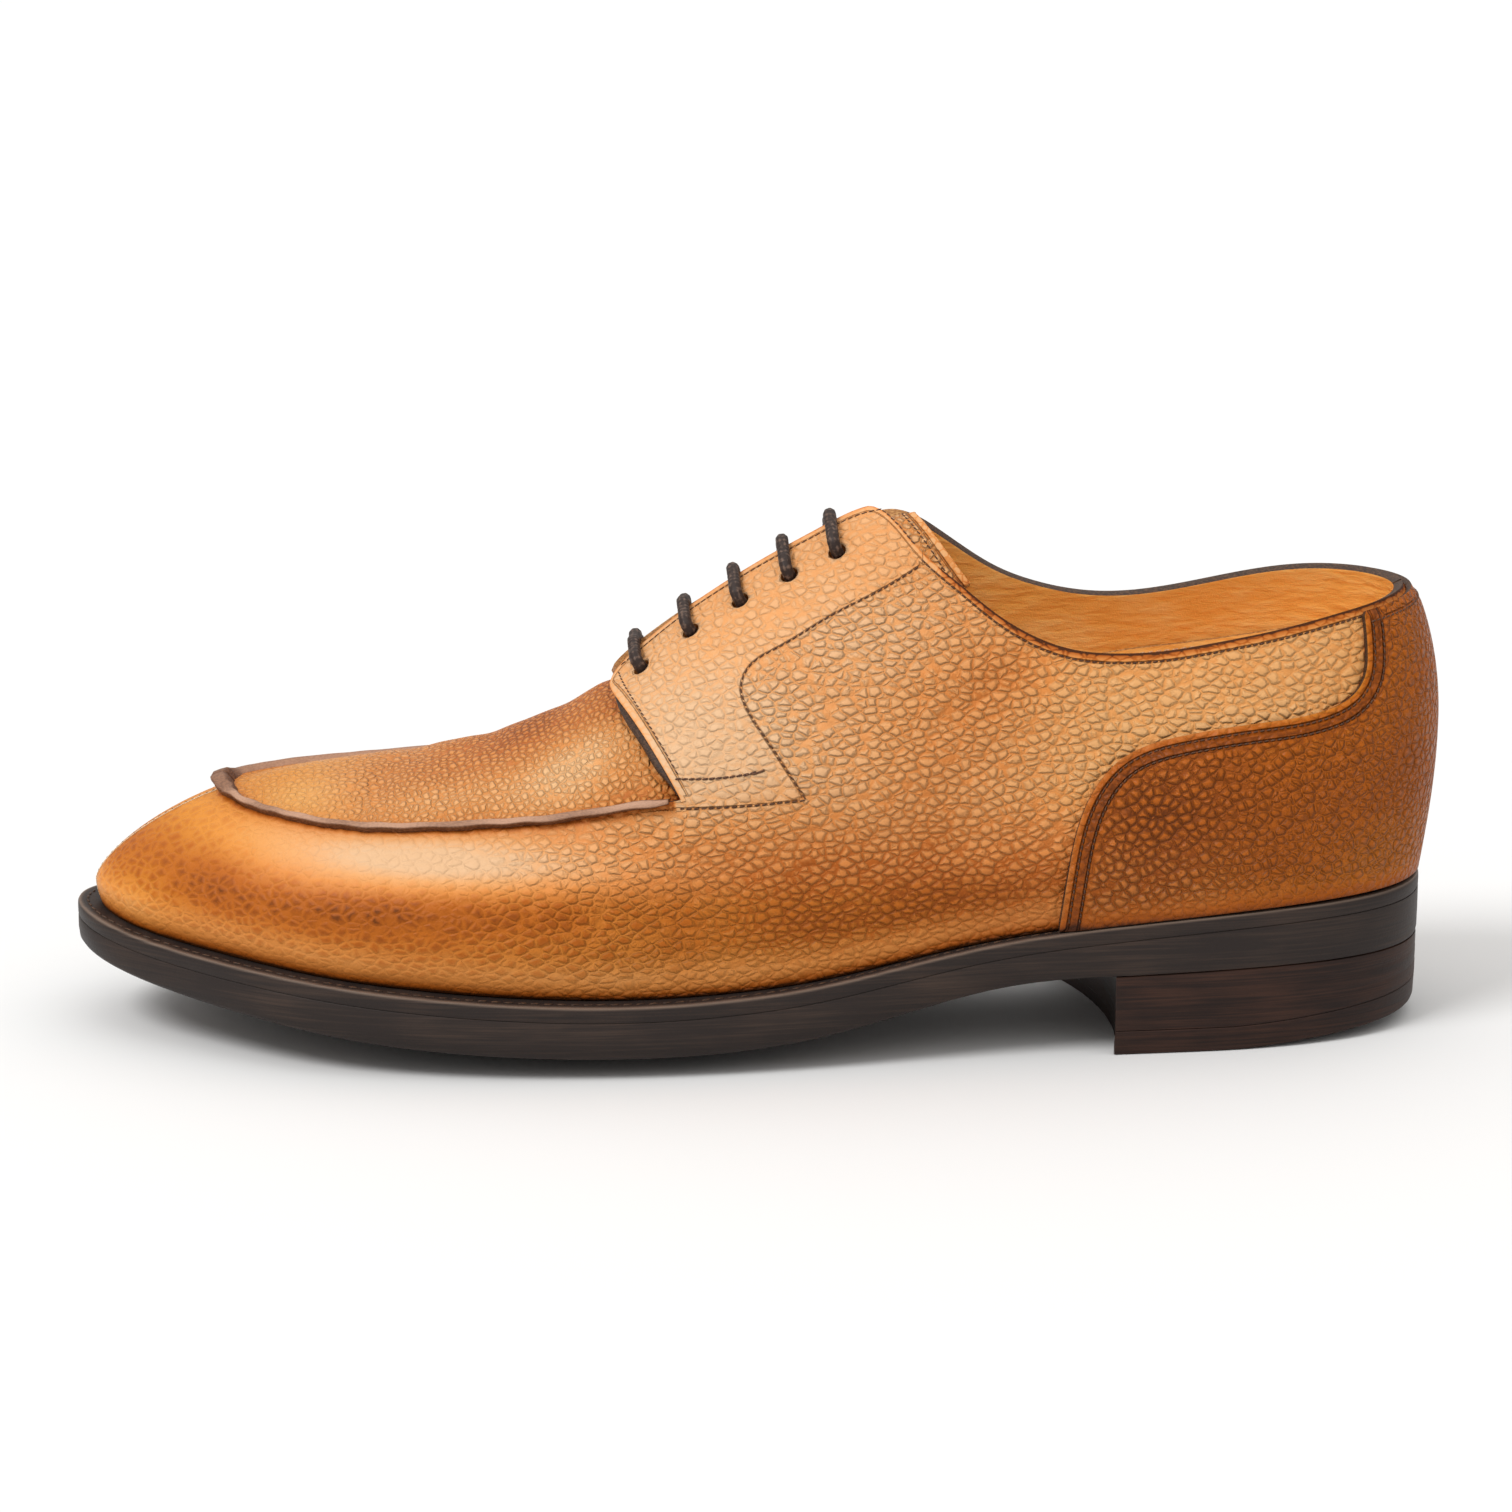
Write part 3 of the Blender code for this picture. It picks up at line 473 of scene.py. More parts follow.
# Shared by the three leathers
pebbleLook = {
    "turn": (0.5, 0.6, 0.3), "bendSize": 3.6, "smallBend": 0.20, "smallBendSize": 0.9,
    "uneven": 0.72, "soften": 0.3, "fineSize": (0.42, 0.42, 0.36), "cloudSize": (17, 17, 13),
    # shares of a pebble from its border, and the height of its flank
    "creaseWide": 0.17, "veinWide": 0.46, "flankWide": 0.28, "flankHigh": 0.52,
    # millimetres from the cut edge or the stitch row
    "lip": (1.7, 2.1), "brimAt": 2.2, "brim": (0.05, 0.40), "groove": (0.05, 0.48), "edge": (0.0, 0.8),
    # tone added
    "cloudTone": 0.18, "fineTone": 0.05, "veinTone": 0.155, "brimTone": 0.15, "edgeTone": 0.34,
}


def leather(name, look):
    base = pebbleLook
    work = Finish(name, Coat_Weight=look["coat"], Coat_Roughness=0.32, Specular_IOR_Level=look["shine"])
    cells = work.warp(work.spot(look["cell"], base["turn"]), look["warp"], base["bendSize"])
    cells = work.warp(cells, base["smallBend"], base["smallBendSize"])
    pebbles = {"Vector": cells, "Scale": 1.0, "Randomness": base["uneven"]}
    border = work.node("TexVoronoi", {"feature": "DISTANCE_TO_EDGE"}, pebbles)
    heart = work.node("TexVoronoi", {"feature": "SMOOTH_F1"}, {**pebbles, "Smoothness": base["soften"]})
    fine = work.noise(work.spot(base["fineSize"]), 2.0)
    cloud = work.noise(work.spot(base["cloudSize"]), 3.0)
    tone, grain, net = work.mark("tone"), work.mark("grain"), work.mark("net")
    rim, stitch = work.mark("rim"), abs(work.mark("stitch"))
    crease = 1 - border.ease(0.0, base["creaseWide"])
    vein = 1 - border.ease(0.0, base["veinWide"])
    pebble = border.ease(0.0, base["flankWide"]) * base["flankHigh"] - heart * heart * look["dome"]
    lip = 1 - rim.ease(*base["lip"])
    groove = 1 - stitch.ease(*base["groove"])
    brim = (1 - abs(rim - base["brimAt"]).ease(*base["brim"])).most(groove)
    # the creases between pebbles are darkened: partly the grooves' own colour, partly painted shade
    deep = tone + (cloud - 0.5) * base["cloudTone"] + (crease - 0.25) * grain * (1 - net) * look["crease"]
    deep = deep + brim * base["brimTone"] + (fine - 0.5) * base["fineTone"]
    deep = deep + net * (0.66 - vein) * base["veinTone"] + (1 - rim.ease(*base["edge"])) * base["edgeTone"]
    colour = work.mix(work.mark("honey"), work.ramp(deep, look["stops"]), look["honey"], "MULTIPLY")
    height = pebble * grain * (1 - lip) + fine * look["fine"] + lip * 0.45 - brim * 0.7
    rough = look["rough"] + crease * grain * 0.14 + (cloud - 0.5) * 0.12
    return work.done(colour, rough, height, look["depth"])


def edgePaint(name, colour, light, rubAndSheen=None):
    # the fourth colour goes where the mark is high; on the apron seam that pale is partly rubbing, partly a
    # painted highlight along the top and a painted sheen on the far flank
    work = Finish(name, Roughness=0.5, Specular_IOR_Level=0.25)
    fibre = work.noise(work.spot((0.7, 0.7, 0.25)), 3.0)
    paint = work.mix(fibre.ease(0.35, 0.75), colour, light)
    if rubAndSheen:
        paint = work.mix(work.mark("worn") * (0.5 + fibre), paint, rubAndSheen)
    return work.done(paint, 0.42 + fibre * 0.2, fibre, 0.12)


def liningLeather():
    work = Finish("liningLeather", Specular_IOR_Level=0.35)
    wrinkle = work.noise(work.warp(work.spot((6, 6, 1.6)), 0.8, 9), 3.0)
    pore = work.noise(work.spot((0.3, 0.3, 0.3)), 1.0)
    cloud = work.noise(work.spot((22, 22, 16)), 2.0)
    colour = work.ramp(cloud * 0.6 + wrinkle * 0.4, (
        (0.22, (0.82, 0.370, 0.062)), (0.45, (0.95, 0.500, 0.118)), (0.68, (0.98, 0.640, 0.230))))
    return work.done(colour, 0.44 + wrinkle * 0.15, wrinkle + pore * 0.2, 0.46)


def soleLeather(name, look):
    # waxed edge of stacked leather: fine level streaks, brown where the wax is thin
    work = Finish(name, Coat_Weight=0.03, Coat_Roughness=0.35, Specular_IOR_Level=0.14)
    streak = work.noise(work.spot(look["streak"]), 3.0, 0.6)
    cloud = work.noise(work.spot((24, 24, 9)), 3.0)
    pit = work.noise(work.spot((0.6, 0.6, 0.6)), 2.0)
    worn = work.mark("worn")
    bare = (streak * 0.55 + cloud * 0.45).ease(look["bareLow"], look["bareHigh"])
    colour = work.mix(bare, look["wax"], look["brown"])
    colour = work.mix((worn * (0.55 + streak * 0.7)).ease(0.25, 0.95), colour, look["pale"])
    return work.done(colour, look["rough"] + bare * 0.12 + (pit - 0.5) * 0.1, streak * 0.6 + pit * 0.4, 0.14)


def thread(name, colour, light):
    work = Finish(name, Roughness=0.6, Specular_IOR_Level=0.3)
    twist = work.noise(work.spot((0.25, 0.25, 0.25)), 2.0)
    return work.done(work.mix(twist.ease(0.35, 0.7), colour, light), 0.55 + twist * 0.15, twist, 0.08)


def laceCotton():
    # waxed round cord: the tops of its plaits rub pale
    work = Finish("laceCotton", Coat_Weight=0.04, Coat_Roughness=0.4, Specular_IOR_Level=0.25)
    wax = work.noise(work.spot((1.1, 1.1, 1.1)), 3.0, 0.6)
    top = work.mark("plait")
    rub = (top * 0.30 + wax).ease(0.60, 1.0)
    colour = work.mix(rub, (0.024, 0.013, 0.010), (0.16, 0.098, 0.070))
    return work.done(colour, 0.58 - rub * 0.1, wax, 0.06)


def rubber():
    work = Finish("rubber", Specular_IOR_Level=0.35)
    grit = work.noise(work.spot((0.8, 0.8, 0.8)), 3.0)
    cloud = work.noise(work.spot((20, 20, 6)), 2.0)
    colour = work.mix(cloud.ease(0.3, 0.7), (0.020, 0.014, 0.011), (0.046, 0.027, 0.018))
    return work.done(colour, 0.62 + grit * 0.15, grit, 0.10)


# Waxed edges of sole and heel and the open face underneath: size of the streaks, where the wax is thin
soleLook = {
    "soleEdge": {
        "streak": (26, 26, 0.55), "bareLow": 0.42, "bareHigh": 0.78, "rough": 0.46,
        "wax": (0.025, 0.0185, 0.0165), "brown": (0.058, 0.038, 0.029), "pale": (0.15, 0.105, 0.080),
    },
    "soleFace": {
        "streak": (9, 2.4, 4), "bareLow": 0.34, "bareHigh": 0.72, "rough": 0.55,
        "wax": (0.030, 0.021, 0.017), "brown": (0.085, 0.050, 0.034), "pale": (0.15, 0.105, 0.080),
    },
    "heelEdge": {
        "streak": (26, 26, 0.55), "bareLow": 0.36, "bareHigh": 0.70, "rough": 0.44,
        "wax": (0.017, 0.010, 0.0085), "brown": (0.052, 0.024, 0.016), "pale": (0.10, 0.055, 0.035),
    },
}
finishes = {
    **{key: leather(key + "Leather", look) for key, look in grainLook.items()},
    **{key: soleLeather(key, look) for key, look in soleLook.items()},
    "lining": liningLeather(),
    "paintedEdge": edgePaint("paintedEdge", (0.030, 0.015, 0.009), (0.10, 0.050, 0.026)),
    "rawEdge": edgePaint("rawEdge", (0.28, 0.115, 0.032), (0.56, 0.30, 0.105)),
    "seam": edgePaint("seamLeather", (0.085, 0.030, 0.012), (0.20, 0.086, 0.040), (0.42, 0.235, 0.15)),
    "thread": thread("brownThread", (0.042, 0.016, 0.008), (0.15, 0.064, 0.030)),
    "paleThread": thread("paleThread", (0.46, 0.27, 0.13), (0.80, 0.60, 0.40)),
    "lace": laceCotton(),
    "rubber": rubber(),
}
print("finishes made")


# Making pieces
def clearPick():
    if bpy.context.object and bpy.context.object.mode != "OBJECT":
        bpy.ops.object.mode_set(mode="OBJECT")
    bpy.ops.object.select_all(action="DESELECT")


def pick(piece):
    clearPick()
    piece.select_set(True)
    bpy.context.view_layer.objects.active = piece


def gridPiece(name, columns, rows, shape):
    # a flat grid is added, and each of its points is drawn over the last
    clearPick()
    bpy.ops.mesh.primitive_grid_add(x_subdivisions=columns, y_subdivisions=rows, size=1.0)
    piece = bpy.context.object
    piece.name = piece.data.name = name
    mesh = piece.data
    flat = np.empty(len(mesh.vertices) * 3, np.float32)
    mesh.vertices.foreach_get("co", flat)
    i = np.rint((flat[0::3] + 0.5) * columns).astype(int)
    j = np.rint((flat[1::3] + 0.5) * rows).astype(int)
    u, v = np.meshgrid(np.linspace(0, 1, columns + 1), np.linspace(0, 1, rows + 1), indexing="ij")
    points, marks = shape(u, v)
    mesh.vertices.foreach_set("co", (points[i, j] * mm).astype(np.float32).ravel())
    for markName, values in marks.items():
        layer = mesh.attributes.new(markName, "FLOAT", "POINT")
        layer.data.foreach_set("value", np.broadcast_to(values, u.shape)[i, j].astype(np.float32))
    mesh.update()
    return piece


def joined(pieces):
    pick(pieces[0])
    for piece in pieces[1:]:
        piece.select_set(True)
    bpy.ops.object.join()
    return bpy.context.object


def mergeDoubles(piece, distance=0.01, closed=False):
    pick(piece)
    bpy.ops.object.mode_set(mode="EDIT")
    bpy.ops.mesh.select_all(action="SELECT")
    bpy.ops.mesh.remove_doubles(threshold=distance * mm)
    if closed:
        bpy.ops.mesh.dissolve_degenerate(threshold=0.002 * mm)
        bpy.ops.mesh.select_all(action="SELECT")
        bpy.ops.mesh.normals_make_consistent(inside=False)
    bpy.ops.object.mode_set(mode="OBJECT")


def faceOut(piece):
    # turns a sheet over where it looks into the shoe
    mesh = piece.data
    normals, spots = np.empty(len(mesh.polygons) * 3), np.empty(len(mesh.polygons) * 3)
    mesh.polygons.foreach_get("normal", normals)
    mesh.polygons.foreach_get("center", spots)
    away = spots.reshape(-1, 3) - (0, 0, 0.035)
    away[:, 0] = 0
    if np.sum(normals.reshape(-1, 3) * away) < 0:
        mesh.flip_normals()


def applyAll(piece):
    pick(piece)
    for name in [modifier.name for modifier in piece.modifiers]:
        bpy.ops.object.modifier_apply(modifier=name)


def thicken(piece, thick, edgeRound, materials):
    # materials: outer face, inner face, cut edge
    faceOut(piece)
    for key in materials:
        piece.data.materials.append(finishes[key])
    wall = piece.modifiers.new("wall", "SOLIDIFY")
    wall.thickness = thick * mm
    wall.offset = -1
    wall.use_even_offset = True
    wall.use_quality_normals = True
    wall.material_offset, wall.material_offset_rim = 1, 2
    soft = piece.modifiers.new("soft edge", "BEVEL")
    soft.width = edgeRound * mm
    soft.segments = 2
    soft.limit_method = "ANGLE"
    soft.angle_limit = math.radians(50)
    applyAll(piece)
    bpy.ops.object.shade_smooth()


def capEnds(piece):
    # closes the open ends of a tube
    pick(piece)
    bpy.ops.object.mode_set(mode="EDIT")
    bpy.ops.mesh.select_all(action="DESELECT")
    bpy.ops.mesh.select_non_manifold()
    bpy.ops.mesh.edge_face_add()
    bpy.ops.mesh.select_all(action="SELECT")
    bpy.ops.mesh.normals_make_consistent(inside=False)
    bpy.ops.object.mode_set(mode="OBJECT")


def fit(piece, slot, *nodes):
    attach(piece, "root")
    if nodes:
        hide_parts(*nodes)
    return piece


def dress(piece, material, slot, *nodes, angle=None):
    # one finish all over, smooth everywhere or only up to an angle between faces
    piece.data.materials.append(finishes[material])
    pick(piece)
    if angle is None:
        bpy.ops.object.shade_smooth()
    else:
        bpy.ops.object.shade_smooth_by_angle(angle=math.radians(angle))
    return fit(piece, slot, *nodes)


def paintFaces(piece, material, chosen):
    # gives the faces that chosen picks a finish of their own
    piece.data.materials.append(finishes[material])
    for face in piece.data.polygons:
        if chosen(face):
            face.material_index = len(piece.data.materials) - 1


def underneath(face):
    return face.normal.z < -0.8


def addToneSpots(tone, station, across, toneSpots):
    # adds soft spots: station, place across, length, width, tone added
    for x, y, long, wide, more in toneSpots:
        tone = tone + more * np.exp(-((station - x) / long) ** 2 - ((across - y) / wide) ** 2)
    return tone


def creased(station, across, creases):
    # soft valleys with a ridge on each side: station, place across, half length, width, slant, depth
    relief = np.zeros(station.shape)
    for atStation, atAcross, long, wide, degrees, depth in creases:
        x, y, slant = station - atStation, across - atAcross, math.radians(degrees)
        run, side = -x * math.sin(slant) + y * math.cos(slant), x * math.cos(slant) + y * math.sin(slant)
        valley = (1 - 1.1 * (side / wide) ** 2) * np.exp(-(side / wide) ** 2)
        relief = relief + -depth * valley * np.exp(-(run / long) ** 2)
    return relief


def toLine(points, line):
    # distance of each point from a line of points
    best = np.full(points.shape[:-1], 1e9)
    for a, b in zip(line[:-1], line[1:]):
        along = b - a
        share = np.clip(((points - a) @ along) / (along @ along + 1e-9), 0, 1)
        best = np.minimum(best, np.linalg.norm(points - a - share[..., None] * along, axis=-1))
    return best


def within(x, y, ring):
    # true for places inside a ring of corners
    inside = np.zeros(x.shape, bool)
    for (ax, ay), (bx, by) in zip(ring, np.roll(ring, -1, axis=0)):
        level = (bx - ax) * (y - ay) / (by - ay + 1e-9) + ax
        inside ^= ((ay > y) != (by > y)) & (x < level)
    return inside


# Sides of the upper, one to each half of the foot, sewn together down the toe
sidePanel = {
    "rear": 200, "front": 184, "lowRows": 46, "tabRows": 52, "edgeRound": 0.45, "edgeRow": 2.2,
    "pinSides": 20, "pinDepth": 8, "pinLift": 2.3, "dimple": 0.55, "dimpleWide": 2.9,
    # tone of the leather, and what is added low down (partly painted shade), at the welt (painted shade), at
    # the seam (painted shade and a dark line) and at the collar
    "tone": 0.26, "lowTone": 0.40, "weltShade": 0.85, "seamShade": 0.20, "seamLine": 0.55, "collarLine": 0.45,
    "collarTone": 0.34,
    # relief of the grain, what the toe and the rear lose of it, and the share left on the lace tabs
    "grain": 1.15, "toeLoss": 0.85, "rearLoss": 0.25, "tabGrain": 0.6,
    # most of the pale veins on the toe, and of the yellow low down and at the rear
    "toeNet": 0.8, "lowHoney": 0.7, "rearHoney": 0.18,
    # station, height: rows of stitching seen from the side
    "eyestay": ((116.5, 109.5), (126, 104.6), (136, 99.5), (148, 92.6), (153.6, 89.0), (155.8, 84.5),
                (154.6, 80.2), (151, 74.5), (147, 68.3), (143, 62)),
    "lowerRow": ((170.8, 60.2), (156, 60.9), (143, 62)),
    "barRow": ((170.9, 66.3), (161, 66.8), (152.2, 68.2)),
    # station, height, length, tall, tone added; the pale band on the toe's shoulder at 226 and the pale patch
    # on the lace tab at 165 are painted highlights
    "toneSpots": ((118, 36, 44, 10, 0.13), (98, 88, 12, 8, 0.22), (165, 75, 24, 16, -0.27),
               (110, 74, 16, 12, 0.17), (226, 47.5, 40, 5, -0.72), (70, 64, 30, 12, -0.06),
               (232, 38, 46, 7, 0.19), (180, 62, 30, 9, -0.12), (132, 97, 20, 11, -0.12),
               (50, 80, 26, 8, -0.05), (286, 44, 22, 10, 0.10), (300, 32, 12, 9, -0.12)),
    # station, height, half length, width, slant, depth
    "creases": ((104, 84, 16, 3.2, 62, 0.30), (112, 76, 18, 3.6, 58, 0.26), (96, 72, 15, 3.0, 66, 0.22),
                (206, 47, 4.5, 2.6, 8, 0.22), (220, 45, 5, 3.0, -6, 0.25), (234, 45, 4.5, 2.6, 5, 0.18)),
}
noMark, farOff = 9.0, 50.0  # distances in millimetres at which an edge or a row no longer shows


def sideLines(side):
    # the stitch rows as points on the side's outer face
    rows = {}
    for name in ("eyestay", "lowerRow", "barRow"):
        path = np.array(sidePanel[name], float)
        long = lengths(path)[-1]
        fine = np.linspace(0, long, int(long / 0.7))
        station, height = pathAt(path, fine).T
        if side > 0 and name == "eyestay":
            height = height + np.linspace(3.4, 0, len(fine)) ** 1.2 * 0.8
        s = place(side, station)
        tau = tauByHeight(s, height)
        for again in range(3):
            tau = tauByHeight(s, height - (onFace(s, tau) - form(s, tau))[..., 2])
        rows[name] = onFace(s, tau)
    return rows


def sideRelief(points, side):
    relief = creased(centre - points[..., 0], points[..., 2], sidePanel["creases"])
    for hole in lines["eyelets"]:
        far = np.linalg.norm(points - onFace(*eyeletSpot(side, hole)), axis=-1)
        relief = relief - sidePanel["dimple"] * np.exp(-(far / sidePanel["dimpleWide"]) ** 2)
    return relief


def sideMarks(points, rim, front, rows):
    station, height = centre - points[..., 0], points[..., 2]
    above = height - soleEdge(station) - soleThick(station)
    toe = smooth((station - 186) / 46)
    # darker low down: partly burnish, partly painted shade of the lower side
    tone = sidePanel["tone"] + sidePanel["lowTone"] * smooth((72 - height) / 36)
    # painted shade where the upper meets the welt
    tone = tone + sidePanel["weltShade"] * np.exp(-above / 1.6) + 0.04 * toe
    tone = tone + 0.05 * smooth((station - 288) / 18) - 0.24 * smooth((13 - above) / 9)
    tone = addToneSpots(tone, station, height, sidePanel["toneSpots"])
    bySeam = (station > 172) & (height < 66)
    seamSide = np.exp(-rim / 2.6) * bySeam
    # painted shade beside the raised apron seam, and a dark line along it that is partly painted shade
    tone = tone + sidePanel["seamShade"] * seamSide
    tone = tone + sidePanel["seamLine"] * np.exp(-(rim / 1.3) ** 2) * bySeam
    grain = sidePanel["grain"] - sidePanel["toeLoss"] * smooth((station - 176) / 54)
    grain = grain - sidePanel["rearLoss"] * smooth((105 - station) / 45)
    grain = grain * (0.35 + 0.65 * smooth((above - 2) / 9)) * (1 - 0.5 * seamSide)
    band = smooth((52 - height) / 14) * (0.3 + 0.7 * smooth((station - 140) / 50))
    net = np.maximum(band, sidePanel["toeNet"] * smooth((station - 250) / 24)) * smooth((above - 1) / 6)
    onCollar = (station < 112) & (height > 80)
    collarLine = sidePanel["collarLine"] * np.exp(-(rim / 0.7) ** 2)
    collarBand = sidePanel["collarTone"] * smooth((sidePanel["edgeRow"] - rim) / 0.6)
    tone = tone + onCollar * (collarLine + collarBand)
    # the eyestay row and the lower row frame the lace tab: the groove's distance changes sign across them
    framed = np.vstack([rows["eyestay"], rows["lowerRow"][::-1]])
    ring = np.vstack([np.c_[centre - framed[:, 0], framed[:, 2]], [(200, 60), (200, 140), (105, 140)]])
    onTab = within(station, height, ring) & (station < 300)
    stitch = toLine(points, framed) * np.where(onTab, 1, -1)
    grain = grain * np.where(onTab, sidePanel["tabGrain"], 1.0)
    lowHoney = sidePanel["lowHoney"] * smooth((46 - height) / 9) * smooth((station - 70) / 60)
    rearHoney = sidePanel["rearHoney"] * smooth((110 - station) / 40) * smooth((height - 50) / 12)
    honey = np.maximum(smooth((station - 250) / 40), lowHoney) * (0.35 + 0.65 * smooth((above - 5) / 9))
    honey = np.maximum(honey, rearHoney)
    # no raised lip along the apron seam, and one along the front of the lace tab
    lip = np.where((station > 168) & (height < 64.5) & (front > 40), noMark, rim)
    lip = np.minimum(lip, front + 0.15)
    return {"tone": tone, "grain": grain, "net": net, "rim": lip, "stitch": stitch, "honey": honey}


def onFacing(face):
    # the cut edge in front of the collar, down to the tab's foot
    cut = face.material_index == 2
    station, height = centre - face.center.x / mm, face.center.z / mm
    return cut and station > lines["facingEnd"] and height > lines["beltHeight"] + 1


def makeSide(side):
    corner, heelEnd = place(side, lines["tabCorner"]), 0.0 if side < 0 else 1.0
    total = sidePanel["rear"] + sidePanel["front"]
    rows = sideLines(side)

    def skirt(u, v):
        k = u * total
        s = heelEnd + (corner - heelEnd) * np.clip(k / sidePanel["rear"], 0, 1)
        s = s + (toeTip - corner) * np.clip((k - sidePanel["rear"]) / sidePanel["front"], 0, 1)
        inFront = k > sidePanel["rear"] + 0.5
        belt = np.where(inFront, seamTau(s), tauByHeight(s, lines["beltHeight"]))
        tau = -1 + v * (1 + belt)
        plain = onFace(s, tau)
        rim = np.where(inFront, toLast(plain, 1), farOff)
        turnUp = np.where(inFront, 0.7 * np.exp(-(rim / 1.5) ** 2), 0.0)
        station = centre - plain[..., 0]
        pucker = np.sin(station * 1.75 + 1.6 * np.sin(station * 0.33)) * (0.6 + 0.4 * np.sin(station * 0.21))
        pucker = 0.17 * pucker * np.exp(-(rim / 3.4) ** 2)
        pucker = pucker * smooth((station - 182) / 12) * smooth((292 - station) / 12)
        points = onFace(s, tau, sideRelief(plain, side) + turnUp + pucker)
        return points, sideMarks(plain, rim, np.full(u.shape, farOff), rows)

    def quarter(u, v):
        s = heelEnd + (corner - heelEnd) * u
        station = footEdge(s)[..., 0]
        alongTab = (station - lines["tabRear"]) / (lines["tabCorner"] - lines["tabRear"])
        lean = lines["tabSlant"] * smooth(alongTab) * tabLean(v)
        moved = np.where(lean > 1e-6, place(side, station + lean), s)
        low = tauByHeight(moved, lines["beltHeight"])
        tau = low + v * (topTau(moved, side) - low)
        plain = onFace(moved, tau)
        points = onFace(moved, tau, sideRelief(plain, side))
        return points, sideMarks(plain, toLast(plain, 1), toLast(plain, 0), rows)

    name = "sideOuter" if side < 0 else "sideInner"
    lower = gridPiece(name, total, sidePanel["lowRows"], skirt)
    upper = gridPiece(name + "Quarter", sidePanel["rear"], sidePanel["tabRows"], quarter)
    piece = joined([lower, upper])
    mergeDoubles(piece)
    thicken(piece, last["wall"], sidePanel["edgeRound"], ("side", "lining", "paintedEdge"))
    paintFaces(piece, "rawEdge", onFacing)
    cutEyelets(piece, side)
    return fit(piece, "tan_leather", "upper"), rows


def cutEyelets(piece, side):
    pins = []
    for station in lines["eyelets"]:
        s, tau = eyeletSpot(side, station)
        normal = Vector(outward(s, tau))
        middle = Vector((form(s, tau) + np.array(normal) * sidePanel["pinLift"]) * mm)
        clearPick()
        bpy.ops.mesh.primitive_cylinder_add(
            vertices=sidePanel["pinSides"], radius=lines["eyeletRadius"] * mm,
            depth=sidePanel["pinDepth"] * mm, location=middle,
            rotation=normal.to_track_quat("Z", "Y").to_euler())
        pins.append(bpy.context.object)
    punch = joined(pins)
    holes = piece.modifiers.new("eyelets", "BOOLEAN")
    holes.operation, holes.solver, holes.object = "DIFFERENCE", "EXACT", punch
    applyAll(piece)
    bpy.data.objects.remove(punch)


sideOuter, outerRows = makeSide(-1)
sideInner, innerRows = makeSide(1)
print("sides made", len(sideOuter.data.polygons), len(sideInner.data.polygons))

# Dark under layer that shows along the front edge of each lace tab: the tab's painted lining edge, its
# darkness partly painted shade of the gap under the tab
tabUnder = {"along": 80, "around": 12, "forward": 0.5, "wide": 1.25, "tall": 0.75, "depth": 2.0}


def tabUnderShape(side):
    def shape(u, v):
        rise = 0.02 + 0.94 * u
        taper = 0.15 + 0.85 * smooth(np.minimum(u * 6, (1 - u) * 1.7))
        s = place(side, lines["tabCorner"] + lines["tabSlant"] * tabLean(rise) + tabUnder["forward"] * taper)
        low = tauByHeight(s, lines["beltHeight"])
        tau = low + rise * (topTau(s, side) - low)
        normal = outward(s, tau)
        middle = onFace(s, tau, -tabUnder["depth"])
        across = np.cross(unit(np.gradient(middle, axis=0)), normal)
        turn = v * 2 * np.pi
        wide, tall = np.cos(turn) * tabUnder["wide"] * taper, np.sin(turn) * tabUnder["tall"] * taper
        return middle + across * wide[..., None] + normal * tall[..., None], {}

    return shape


for side, name in ((-1, "tabUnderOuter"), (1, "tabUnderInner")):
    strip = gridPiece(name, tabUnder["along"], tabUnder["around"], tabUnderShape(side))
    mergeDoubles(strip)
    capEnds(strip)
    dress(strip, "paintedEdge", "dark_leather", "upper")
print("tab under layers made")

# Apron over the toes and, in one piece with it, the tongue under the lace tabs
apronPiece = {
    "along": 200, "half": 44, "gap": 0.9, "thick": 1.9, "edgeRound": 0.4, "drop": 2.6, "length": 190,
    "tongueSide": 104.5, "tongueMiddle": 116.5, "tongueRow": 2.6,
    # tone of the leather, what is added under the tabs (painted shade), at the toe and at the seam (painted
    # shade), and taken off at the end
    "tone": 0.35, "underShade": 0.15, "toeTone": 0.12, "seamShade": 0.30, "endTone": 0.26,
    "grain": 0.75, "underGrain": 0.25, "toeLoss": 0.30, "toeNet": 0.25, "toeHoney": 0.6,
    # station, distance of the tongue's edge from the ridge
    "tongueEdge": ((104.5, 21), (110, 23), (117, 24.5), (130, 27), (150, 31), (160, 36), (167, 42)),
    # station, offset, half length, width, slant, depth
    "creases": ((238, -8, 14, 5.6, 12, 0.95), (229, 12, 16, 5.0, -8, 0.8), (220, -10, 17, 5.0, 6, 0.7),
                (212, 6, 22, 4.4, -4, 0.55), (203, -14, 15, 3.8, 9, 0.4), (195, 8, 20, 4.6, -3, 0.35),
                (246, 6, 10, 2.8, -14, 0.3)),
    # station, offset, length, wide, tone added; the pale spot at 194 beside the outer tab is a painted sheen
    "toneSpots": ((183, -10, 6, 40, 0.16), (236, -4, 14, 16, 0.10), (194, -25, 15, 9, -0.46),
               (203, 4, 20, 26, 0.32), (255, -10, 16, 9, -0.08), (224, -22, 12, 6, -0.14)),
}


